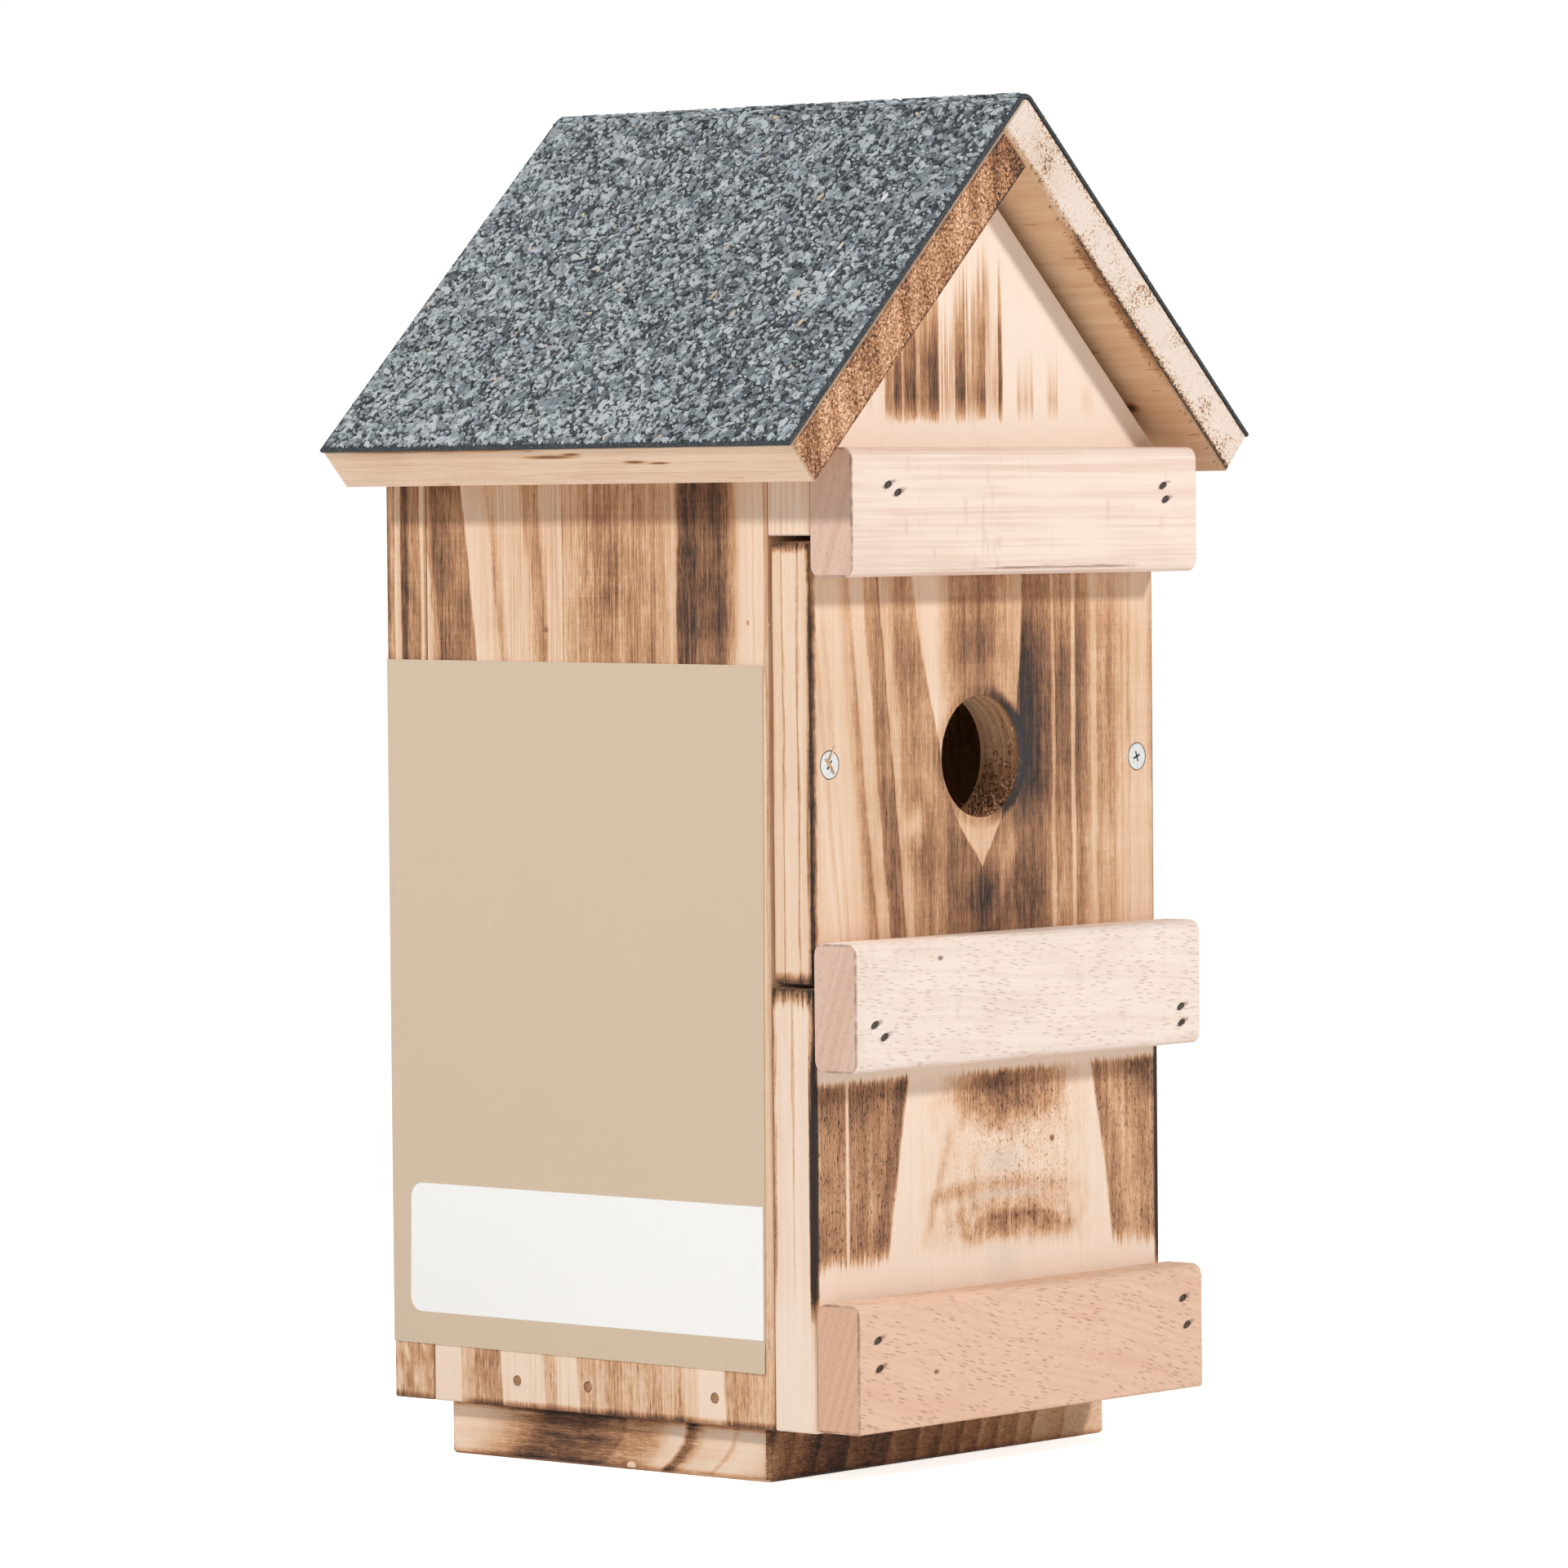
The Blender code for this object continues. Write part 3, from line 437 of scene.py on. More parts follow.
def facing(direction):
    """1 on the faces that look in a direction."""
    return direction.rise(0.5, 0.8)


def unburnt_paler(finish, shown, burn, share):
    """Pales the wood that the flame didn't reach."""
    return finish.mix(burn.rise(0.3, 0.0) * share, shown, screen(249, 234, 221))


def chance_stripes(finish, across, along, middle, seed, strength=0.8):
    """Flame stripes that follow growth rings: arches round a middle line, straight beside it."""
    opening = 9.0
    aside = across - middle
    wander = finish.noise((6, 6, 30), 2, seed + 7).sway(2.2)
    rings = (aside * aside + along.most(0) * opening).root() + wander
    line = finish.joined(rings, through=seed * 3.1)
    wide = finish.noise((13, 1, 1), 2, seed + 8, vector=line)
    thin = finish.noise((2.6, 1, 1), 1, seed + 9, vector=line)
    level = wide.rise(0.42, 0.62) * 0.62 + thin.rise(0.5, 0.72) * 0.34
    passes = finish.noise((34, 34, 52), 2, seed + 10).rise(0.28, 0.62)
    return level * (0.35 + passes * 0.75) * strength


def arris_char(finish, box, reach=1.6):
    """Char along the arrises of a board, where two faces of its box meet."""
    near_x, near_y, near_z = (
        (place - low).least(high - place).rise(reach, 0.0)
        for place, low, high in zip((finish.x, finish.y, finish.z), box[::2], box[1::2])
    )
    meeting = (near_x * near_y).most(near_y * near_z).most(near_x * near_z)
    return meeting * finish.noise((8, 8, 8), 2, 91).rise(0.25, 0.6) * 0.85


def front_panel_finish():
    """The sliding panel: leaning stripes, a pale arch, and dark bands beside the hole."""
    finish = Finish("flamed_front_panel")
    wander = finish.noise((5, 5, 24), 3, 3).sway(2.0)
    x = finish.x + wander
    z = finish.z
    leaning = x + (z - 170) * x.rise(88, 40) * 0.115
    left = finish.bands(leaning, [
        (0, 0.24), (3, 0.2), (4.6, 0.14), (6.4, 0.24), (7.6, 0.12), (9.8, 0.2), (11, 0.12),
        (15.6, 0.12), (18.2, 0.28), (20.6, 0.46), (21.6, 0.18), (24.6, 0.16), (26.0, 0.2),
        (26.8, 0.52), (30, 0.6), (31.9, 0.52), (32.4, 0.66), (33.0, 0.2), (35.4, 0.18),
        (38.0, 0.38), (43, 0.44), (47, 0.38), (51.6, 0.5), (58, 0.44), (70, 0.52),
    ])
    right = finish.bands(x, [
        (70, 0.76), (79, 0.6), (84, 0.72), (85.6, 0.84), (91.6, 0.78), (91.9, 0.88), (92.3, 0.76),
        (95, 0.7), (97.8, 0.64), (98.2, 0.28), (99.3, 0.3), (99.8, 0.76), (100.8, 0.58),
        (106.2, 0.62), (106.8, 0.24), (108.0, 0.26), (108.5, 0.7), (112.4, 0.54), (115.4, 0.2),
        (116.9, 0.2), (117.4, 0.44), (120.6, 0.34), (122.4, 0.38), (123.2, 0.5), (125.4, 0.26),
        (128.4, 0.24), (129.4, 0.16), (130.8, 0.26), (132, 0.15), (138.8, 0.15), (140.6, 0.3),
        (142, 0.46),
    ])
    left_heights = finish.bands(z, [
        (125, 1.0), (138, 1.12), (152, 1.05), (168, 0.84), (198, 0.92), (218, 0.8),
    ])
    right_heights = finish.bands(z, [
        (125, 0.7), (146, 0.7), (158, 0.82), (170, 1.0), (203, 1.0), (212, 0.7), (218, 0.6),
    ])
    left = left * (1 - z.rise(176, 214) * leaning.rise(33, 30) * 0.34)
    outside = choose(x.rise(69, 71), right * right_heights, left * left_heights)
    axis = 68.2 - (z - 150) * 0.065
    aside = x - axis
    half_width = finish.bands(z, [
        (140, -1), (142, 0), (147, 3.6), (156, 9.9), (169, 14.2), (186, 18), (200, 20.6),
        (218, 22.6),
    ])
    inside_mask = (half_width - abs(aside)).rise(-0.4, 0.6)
    arch = finish.bands(x, [
        (40, 0.2), (42, 0.08), (50, 0.06), (55.4, 0.26), (58, 0.46), (63, 0.44), (68, 0.58),
        (73.6, 0.52), (76, 0.36), (81, 0.24), (85, 0.2), (88, 0.2),
    ])
    arch_heights = finish.bands(z, [
        (142, 0.2), (152, 0.3), (158, 0.42), (184, 0.86), (200, 1.06), (218, 0.9),
    ])
    burn = choose(inside_mask, arch * arch_heights, outside)
    burn = burn + finish.spots(x, z, [
        ((70.5, 132), (9, 10), 0.7, 0.36), ((88, 132), (7, 12), 0.8, 0.22),
        ((42, 154), (3.6, 4), 1.0, -0.3), ((57, 148), (3, 10), 0.9, 0.1),
        ((46, 147), (4, 9), 0.9, 0.14), ((39, 199), (6.5, 8.5), 0.35, 0.08),
        ((66, 199), (10, 5), 0.8, 0.14), ((39, 180), (6, 24), 0.6, 0.08),
        ((5, 138), (9, 24), 0.8, -0.14), ((88, 171), (6, 20), 0.9, 0.2),
    ])
    tan_streak = (x - (72 + (z - 126) * 0.45)).between(-2.2, 2.2, 1.6) * z.between(124, 150, 5)
    burn = burn - tan_streak * 0.14
    from_hole = finish.x - HOLE_X
    radius = (from_hole * from_hole + (z - HOLE_Z) * (z - HOLE_Z)).root()
    uneven = finish.noise((3, 3, 3), 2, 12).sway(3)
    rim = (radius + uneven * 0.4).rise(19.8, 16.4)
    burn = burn + rim * (0.14 + from_hole.rise(0, 13) * 0.75)
    burn = burn + (finish.x + uneven * 0.5).rise(3.0, 0.9) * 0.85 * z.rise(228, 206).most(0.75)
    burn = burn + finish.x.rise(140.8, 141.6) * 0.6
    edge = facing(abs(finish.facing_x))
    edge_burn = finish.bands(finish.y + finish.noise((1.4, 1.4, 22), 3, 15).sway(2.2), [
        (0, 0.8), (0.8, 0.6), (1.5, 0.1), (3.6, 0.06), (4.2, 0.4), (4.8, 0.06), (8.6, 0.04),
        (9, 0.38), (9.5, 0.08), (12.4, 0.12), (13.2, 0.4),
    ])
    front_arris = (finish.y + uneven * 0.4).rise(1.6, 0.5) * 0.8
    ends = (z + uneven * 0.8).rise(224.5, 227.2).most((z + uneven * 0.8).rise(118.5, 115))
    burn = choose(edge, edge_burn.most(front_arris) + ends * 0.7, burn)
    back = chance_stripes(finish, finish.x, z - 60, 60, 31) * 0.6
    burn = choose(facing(finish.facing_y), back, burn)
    wall = (radius.rise(16.4, 16.15) * (1 - abs(finish.facing_y))).rise(0.3, 0.6)
    groove = finish.noise((60, 0.8, 60), 2, 14).sway(0.8)
    low = (z + uneven).rise(166, 156)
    torn = finish.noise((1.7, 2.4, 1.3), 3, 16, rough=0.7).rise(0.46, 0.6)
    wall_burn = 0.16 + groove + finish.y.rise(1.6, 0.2) * 0.5
    wall_burn = wall_burn + low * torn * 0.75 * finish.y.rise(12, 7)
    burn = choose(wall, wall_burn, burn)
    soot = finish.spot(x, z, (86.2, 170), (4.4, 17), 0.9) * rim.most(0.35) * (1 - wall)
    colours = bpy.context.scene.nest_box_colours

    def tint(shown):
        golden = finish.filtered(shown, (0.8, 0.68, 0.52))
        shown = finish.mix(wall * (0.62 + low * 0.15), shown, golden)
        return finish.mix(soot * 0.8, shown, colours.soot)

    return flamed(finish, burn, "z", 2, tint)


def gable_finish():
    """The gable board: stripes that end in a streaky fringe and fade upwards."""
    finish = Finish("flamed_gable_board")
    fringe = finish.noise((0.7, 0.7, 60), 2, 21)
    x = finish.x + finish.noise((5, 5, 30), 2, 22).sway(1.0)
    z = finish.z
    left = finish.bands(x, [
        (0, 0.0), (22.6, 0.0), (23.4, 0.2), (25.3, 0.18), (26, 0.0), (30.4, 0.1), (30.8, 0.36),
        (34.0, 0.4), (34.6, 0.66), (37.2, 0.7), (37.6, 0.2), (38.4, 0.56), (43.0, 0.68),
        (43.5, 0.3), (44.6, 0.34), (45.2, 0.5), (47.8, 0.5), (48.4, 0.6), (51.8, 0.68), (52.3, 0.0),
        (54, 0.06), (54.6, 0.3), (57.2, 0.26), (57.6, 0.06), (58.6, 0.12), (59.2, 0.62),
        (63.0, 0.7), (63.6, 0.06),
    ])
    right = finish.bands(x, [
        (63.6, 0.06), (64.6, 0.24), (67.6, 0.26), (68.2, 0.46), (71.2, 0.56), (71.8, 0.0),
        (73.4, 0.02), (74, 0.22), (76.6, 0.22), (76.9, 0.74), (77.9, 0.6), (78.6, 0.0), (84, 0.04),
        (84.6, 0.34), (86, 0.2), (88, 0.24), (89.6, 0.14), (90.8, 0.34), (91.4, 0.0), (96.4, 0.04),
        (97.4, 0.3), (99, 0.22), (101.1, 0.36), (101.6, 0.0), (110, 0.02), (112, 0.26), (116, 0.28),
        (116.6, 0.0), (121, 0.14), (128, 0.24), (131, 0.16), (132, 0.02),
    ])
    stripes = choose(x.rise(63.5, 63.9), right, left)
    tops = finish.bands(x, [
        (0, 0), (22, 0.3), (30, 0.8), (38, 0.85), (52, 0.9), (52.6, 0.5), (58, 0.55), (59, 0.8),
        (64, 0.8), (65, 0.6), (68, 0.9), (72, 0.95), (74, 0.7), (77.6, 1.0), (80, 0.35), (90, 0.55),
        (100, 0.45), (114, 0.3), (140, 0),
    ])
    top = 262 + tops * 46 + fringe.sway(20)
    fade = ((top - z) / 26).most(0).least(1)
    bottom = (z + fringe.sway(7)).rise(257, 259) * z.rise(254, 266)
    below = (z - 251.5).rise(0, -6)
    low_half = z.rise(286, 262)
    burn = stripes * fade * (0.98 + low_half * 0.36) * bottom + below * stripes * 0.7 - 0.05
    haze = x.between(31, 74, 5) * (top + 6 - z).rise(0, 22) * bottom * fringe.rise(0.2, 0.7) * 0.4
    burn = burn.most(haze)
    back = chance_stripes(finish, finish.x, z - 200, 80, 33) * 0.5
    burn = choose(facing(finish.facing_y), back, burn)
    end = 0.12 + finish.noise((1, 1, 40), 2, 24).sway(0.3)
    burn = choose(facing(abs(finish.facing_x)), end, burn)
    return flamed(
        finish, burn, "z", 20, lambda shown: unburnt_paler(finish, shown, burn, 0.6), specks=0.2)


def lower_board_finish():
    """The lower front board: an arch of pale wood between banded sides, with a smoky middle."""
    finish = Finish("flamed_lower_board")
    x = finish.x + finish.noise((5, 5, 24), 2, 41).sway(1.6)
    z = finish.z
    fringe = finish.noise((0.7, 0.7, 60), 2, 42)
    blotch = finish.noise((4, 4, 7), 3, 46)
    aside = x - 75.5
    beyond = abs(aside) - ((180 - z).most(1) * 16).root()
    left = finish.bands(beyond, [
        (-1.0, 0.03), (0.4, 0.6), (4.2, 0.6), (5.4, 0.46), (8.0, 0.42), (9.4, 0.54), (18.4, 0.5),
        (24, 0.5), (31.2, 0.46),
    ])
    right = finish.bands(beyond, [
        (-1.0, 0.03), (0.4, 0.46), (4.5, 0.4), (7, 0.3), (11, 0.32), (14, 0.42), (22.4, 0.5),
    ])
    sides = choose(aside.rise(-1, 1), right, left)
    sides = sides - finish.x.between(12.4, 13.7, 0.5) * 0.42
    heights = finish.bands(z, [(34, 0.8), (48, 1.05), (56, 0.9), (76, 0.95), (83, 1.25), (89, 1.2)])
    lower_end = (z + fringe.sway(12) + (x - 112).most(0) * 0.14).rise(40, 46)
    upper_end = (z + fringe.sway(5)).rise(90, 87.4)
    burn = sides * heights * lower_end * upper_end
    inside = beyond.rise(0.2, -1.4) * lower_end * upper_end
    veil = x.between(44, 112, 9) * (0.07 + blotch.sway(0.24)).most(0)
    smudge = finish.spot(x, z + blotch.sway(6), (79, 84), (19, 9), 0.7)
    core = finish.spot(x, z, (74, 85), (10, 5.5), 0.9)
    burn = burn + inside * (veil + smudge * (0.34 + blotch.sway(0.34)) + core * 0.24)
    dots = finish.noise((0.5, 0.5, 1.0), 1, 47).rise(0.58, 0.68)
    crowded = 0.1 + finish.spot(x, z, (86, 74), (16, 16), 0.9) * 0.2
    burn = burn + dots * inside * x.between(50, 106, 10) * crowded
    bowed = z + (x - 77) * (x - 77) / 330
    tan_arc = bowed.between(57.4, 61.0, 2.0) * x.between(47, 104, 14) * 0.13
    cap_edge = z + (x - 79) * (x - 79) / 190
    cap = cap_edge.rise(53, 50.6) * cap_edge.rise(43, 50) * x.between(68, 98, 8)
    cap = cap * (0.26 + blotch.sway(0.4))
    under_cap = bowed.between(44, 57, 4) * x.between(52, 106, 12) * (0.1 + blotch.sway(0.34))
    streak = (x - (45 + (z - 48) * 0.37)).between(-1.6, 1.6, 1.4) * z.between(46, 72, 6) * 0.12
    burn = burn + tan_arc + cap + under_cap + streak
    burn = burn + finish.spot(finish.x, z, (96.5, 69.5), (0.8, 0.8), 0.5) * 0.6
    arris = finish.x.rise(1.9, 0.9).most(finish.x.rise(139.6, 140.8))
    arris = arris * z.rise(112, 96).most(z.rise(30, 34))
    burn = burn + arris * 0.9 * z.rise(30, 36)
    haze = x.between(69, 83, 5) * z.between(62, 68, 3)
    haze = haze.most(bowed.between(55.4, 57.4, 1.0) * x.between(64, 88, 8))
    haze = haze.most(x.between(69, 82, 4) * z.between(34, 42, 3) * 0.6) * 0.36
    edge_burn = finish.bands(finish.y + finish.noise((1.4, 1.4, 22), 3, 45).sway(3), [
        (0, 0.95), (1.0, 0.45), (2.2, 0.06), (6.4, 0.05), (7, 0.25), (7.6, 0.05), (12.6, 0.1),
        (13.4, 0.42), (14, 0.5),
    ])
    torn_top = (z + fringe.sway(8)).rise(108, 113.5)
    front_arris = (finish.y + fringe.sway(2)).rise(2.2, 0.8) * z.between(33, 95, 6)
    edge_burn = edge_burn * z.rise(20, 45).most(0.2) + torn_top * 0.7 + front_arris * 0.8
    burn = choose(facing(abs(finish.facing_x)), edge_burn, burn)
    back = chance_stripes(finish, finish.x, 120 - z, 66, 36) * 0.6
    burn = choose(facing(finish.facing_y), back, burn)

    def tint(shown):
        shown = unburnt_paler(finish, shown, burn, 0.42)
        return finish.mix(haze, shown, screen(206, 198, 188))

    return flamed(finish, burn, "z", 40, tint, specks=1.7)


def left_wall_finish():
    """The left wall: wide leaning bands, dark towards both edges."""
    finish = Finish("flamed_left_wall")
    z = finish.z
    y = finish.y + finish.noise((5, 5, 26), 3, 61).sway(2.0)
    upper_lean = y.rise(134.5, 131) * y.rise(82, 100)
    upper_y = y + (220 - z) * upper_lean * 0.115
    low_part = finish.bands(upper_y, [
        (14.3, 0.12), (14.8, 0.3), (15.4, 0.06), (18.3, 0.05), (18.7, 0.2), (19.2, 0.05),
        (24.0, 0.08), (26.4, 0.4), (28.6, 0.66), (31.6, 0.76), (33, 0.7), (37, 0.72), (38, 0.8),
        (44.0, 0.78), (44.6, 0.66), (45.3, 0.2), (47, 0.18), (49.6, 0.26), (52, 0.34), (58, 0.38),
        (63.4, 0.34), (67.4, 0.4), (68, 0.56), (69, 0.4), (73, 0.46), (78, 0.38), (81, 0.22),
        (84.3, 0.18), (84.6, 0.36), (85.1, 0.14), (91, 0.12),
    ])
    high_part = finish.bands(upper_y, [
        (91, 0.14), (92.6, 0.38), (95.4, 0.34), (98, 0.14), (106, 0.1), (107.6, 0.2), (109, 0.28),
        (109.8, 0.12), (113, 0.1), (118.0, 0.05), (118.6, 0.56), (124, 0.6), (128, 0.66),
        (130.6, 0.66), (131.6, 0.4),
    ])
    wedge = finish.bands(y, [(127, 0.5), (130, 0.4), (131.6, 0.18), (133, 0.08), (134.2, 0.06)])
    upper = choose(upper_y.rise(90.6, 91.4), high_part, low_part)
    fan = finish.noise((0.7, 0.7, 5), 2, 65)
    upper = choose((y + (232 - z) * 0.13 + fan.sway(5)).rise(133.6, 134.6), wedge, upper)
    lower_lean = y.rise(135, 108)
    lower_y = y + (z - 8) * lower_lean * -0.06
    lower_low = finish.bands(lower_y, [
        (13.5, 0.26), (14.4, 0.33), (21.6, 0.34), (22.6, 0.46), (30.6, 0.5), (31.2, 0.07),
        (39.6, 0.08), (40.6, 0.2), (45, 0.24), (46, 0.38), (52, 0.3), (56, 0.44), (62, 0.34),
        (68, 0.46), (75, 0.36), (81.4, 0.44), (82.4, 0.1), (89.4, 0.1), (90.4, 0.36), (94, 0.34),
    ])
    lower_high = finish.bands(lower_y, [
        (94, 0.34), (95, 0.06), (109, 0.06), (109.8, 0.62), (118.6, 0.5), (119.4, 0.3),
        (123.8, 0.28), (124.4, 0.02), (133.4, 0.02), (134.2, 0.46), (146, 0.46), (148.2, 0.6),
    ])
    lower = choose(lower_y.rise(93.6, 94.4), lower_high, lower_low)
    fibre_lines = finish.noise((0.5, 0.5, 60), 2, 62)
    burn = choose(z.rise(60, 150), upper, lower * 0.82 - 0.09)
    burn = burn + fibre_lines.sway(0.56) * y.between(45, 110, 3)
    torn_dash = finish.noise((0.55, 0.55, 3.2), 2, 68, rough=0.7)
    burn = burn + torn_dash.sway(0.7) * z.rise(60, 20) * burn.rise(0.02, 0.3)
    passes = finish.noise((400, 18, 20), 3, 63)
    burn = burn * (0.66 + passes * 0.68)
    streaky = finish.noise((2, 0.9, 30), 2, 64).rise(0.5, 0.66)
    burn = burn + streaky * finish.spot(y, z, (68, 212), (6, 16), 0.8) * 0.2
    burn = burn + z.rise(2.2, 0.2) * (122 - y).rise(-3, 3) * 0.5
    burn = burn + finish.spots(y, z, [
        ((91, 205), (0.8, 0.8), 0.5, 0.3), ((21, 207), (0.6, 0.6), 0.5, 0.3),
    ])
    inside = chance_stripes(finish, finish.y, z, 60, 34) * 0.5
    burn = choose(facing(finish.facing_x), inside, burn)
    return flamed(finish, burn, "z", 60, specks=0.4)


def back_wall_left_edge(finish):
    """The back wall's left edge beside the left wall: thin bands high up, brown clouds low down."""
    y = finish.y + finish.noise((4, 1.6, 26), 3, 66).sway(1.6)
    high = finish.bands(y, [
        (134.0, 0.3), (134.8, 0.1), (135.6, 0.12), (136.2, 0.44), (139.8, 0.5), (140.4, 0.72),
        (141.6, 0.86), (142.6, 0.66), (143.1, 0.16), (144.9, 0.1), (145.3, 0.52), (145.8, 0.3),
        (146.6, 0.34), (147, 0.6), (148.2, 0.76),
    ])
    cloud = finish.noise((3, 3, 7), 3, 67)
    low = 0.24 + cloud.sway(1.1) + finish.z.rise(2.5, 0.5) * 0.4
    return choose(finish.z.rise(60, 150), high * (0.8 + cloud * 0.4), low)


def chance_board_finish(name, along_face, seed, middle, box, left_edge=None):
    """A flamed board that the photograph doesn't show: stripes by chance, char on its arrises."""
    finish = Finish(name)
    if along_face == "y":
        across, inward = finish.y, finish.facing_x.rise(-0.5, -0.8)
    else:
        across, inward = finish.x, finish.facing_y.rise(-0.5, -0.8)
    burn = chance_stripes(finish, across, finish.z + 40, middle, seed, strength=0.85)
    burn = burn * (1 - inward * 0.5) + 0.05
    burn = burn + arris_char(finish, box) * (1 - inward * 0.6)
    if left_edge:
        burn = choose(finish.facing_x.rise(-0.5, -0.8), left_edge(finish), burn)
    return flamed(finish, burn, "z", seed)


def floor_board_finish():
    """The floor inside the box: hardly flamed."""
    finish = Finish("raw_floor_board")
    burn = chance_stripes(finish, finish.x, finish.y + 60, 55, 37, strength=0.35)
    return flamed(finish, burn, "y", 37)


def base_board_finish():
    """The base board: flamed edges, and rings on its end grain."""
    finish = Finish("flamed_base_board")
    y = finish.y + finish.noise((3, 6, 3), 2, 71).sway(1.6)
    z = finish.z
    below = (-1 - z).most(0)
    bowed = y - below * below * 0.055
    side = finish.bands(bowed, [
        (18, 0.1), (22, 0.04), (27, 0.0), (31, 0.02), (32.4, 0.2), (33.6, 0.02), (42, 0.06),
        (44.6, 0.24), (46.4, 0.62), (48.4, 0.66), (49.4, 0.3), (50, 0.02), (54, 0.05), (58, 0.22),
        (62, 0.34), (66, 0.34), (69.6, 0.4), (71, 0.6), (75, 0.56), (80, 0.66), (97, 0.74),
        (102, 0.56), (107, 0.32), (114, 0.14), (120, 0.04), (134, 0.0),
    ])
    soft = finish.noise((1.6, 3.2, 1.6), 3, 74)
    side = side * (0.84 + soft * 0.4) + z.rise(-12.6, -14.4) * 0.4 + z.rise(-2.4, -1.0) * 0.35
    side = side + finish.y.rise(23.6, 21.6) * 0.4
    side = side + finish.y.rise(131.5, 133.5) * 0.25 * soft.rise(0.4, 0.6)
    side = side - finish.spot(finish.y, z, (69, -13.5), (1.3, 0.9), 0.5) * 0.9
    leaning = finish.x - (z + 7) * 0.32 + finish.noise((8, 8, 8), 1, 72).sway(1.4)
    end = finish.bands(leaning, [
        (6, 0.86), (9, 0.6), (15, 0.78), (16, 0.62), (25.6, 0.9), (26.6, 0.74), (37.6, 0.94),
        (38.6, 0.74), (54.6, 0.84), (55.6, 0.6), (66.6, 0.8), (67.6, 0.6), (75.6, 0.76),
        (76.6, 0.58), (84.6, 0.74), (85.6, 0.56), (91.6, 0.72), (92.6, 0.5), (99.6, 0.68),
        (100.6, 0.48), (107.6, 0.62), (108.6, 0.42), (114.6, 0.56), (115.6, 0.34), (127.6, 0.48),
        (128.6, 0.36), (145, 0.36),
    ])
    pores = finish.noise((0.5, 3, 0.5), 2, 73)
    sawn = finish.noise((5, 3, 0.34), 2, 75, rough=0.6)
    end = (end - 0.66) * 1.4 + 0.58 + pores.sway(0.4)
    end = end + sawn.sway(0.5) * finish.x.rise(90, 60).most(0.3)
    end = end + z.rise(-12.8, -14.6) * 0.3
    under = chance_stripes(finish, finish.x, finish.y + 40, 80, 38)
    other_side = chance_stripes(finish, finish.z * 3, finish.y + 60, -8, 39)
    other_side = other_side + arris_char(finish, (6, 145.5, 21.4, 134, -14.6, -0.3), reach=2.5)
    burn = choose(finish.facing_x.rise(0.3, 0.6), other_side, side)
    burn = choose(facing(abs(finish.facing_z)), under, burn)
    burn = choose(facing(abs(finish.facing_y)), end, burn)
    # Painted light: the whole base board is drawn 6% lighter, standing in for more light on it low
    # under the box.
    return flamed(finish, burn, "y", 70, lambda shown: finish.shade(shown, 1.06))


def slope_places(finish, side):
    """Distance down a slope from the inner ridge, and height above its underside."""
    aside = (finish.x - RIDGE.x) * side
    up = finish.z - RIDGE.z
    reach = aside * math.cos(ROOF_PITCH) - up * math.sin(ROOF_PITCH)
    height = aside * math.sin(ROOF_PITCH) + up * math.cos(ROOF_PITCH)
    return reach, height


def scorched_end(finish, down, height, seed, mottle, tuft, patch):
    """The left board's front end: brown scorched end grain with slanted belts."""
    colours = bpy.context.scene.nest_box_colours
    belts = finish.noise((7, 1, 1), 2, seed, vector=finish.joined(down + height * 0.8))
    level = 0.47 + mottle.sway(2.4) + tuft.sway(1.5) + belts.sway(1.1) + patch.sway(0.5)
    level = level + height.rise(1.6, 0.2) * 0.35 + height.rise(11.4, 13) * 0.3
    level = level + down.rise(12, 2) * 0.3 - down.between(84, 108, 6) * 0.1
    level = level + down.rise(108, 114) * 0.06
    return finish.ramp(level, [
        (0.0, screen(250, 218, 192)), (0.2, screen(228, 178, 140)), (0.45, colours.end_grain),
        (0.68, screen(146, 94, 60)), (0.86, screen(96, 62, 42)), (1.0, colours.char),
    ])


def pale_end(finish, down, height, seed, mottle, tuft, patch):
    """The right board's front end: pale, specked, with singed ragged edges."""
    colours = bpy.context.scene.nest_box_colours
    lower = height.rise(7, 0.5) * down.rise(20, 60).most(0.5)
    upper = height.rise(8.5, 12.6) * down.rise(60, 20).most(0.4)
    crowd = patch.rise(0.46, 0.7).most(lower).most(upper)
    speck = (finish.noise((0.55, 0.55, 0.55), 2, seed) + crowd * 0.1).rise(0.58, 0.7)
    ragged = height + tuft.sway(2.4) + mottle.sway(3.0)
    level = 0.02 + mottle.sway(0.5) + speck * (0.2 + crowd * 0.4)
    level = level + ragged.rise(2.3, 0.9) * 0.85 * down.rise(18, 30).most(0.4)
    level = level + ragged.rise(12.2, 13.2) * 0.4
    level = level + finish.spot(down, height, (4, 6), (8, 5), 1.0) * 0.16
    return finish.ramp(level, [
        (0.0, colours.pale_end), (0.2, screen(228, 208, 190)), (0.45, screen(198, 154, 114)),
        (0.75, screen(120, 80, 52)), (1.0, colours.char),
    ])


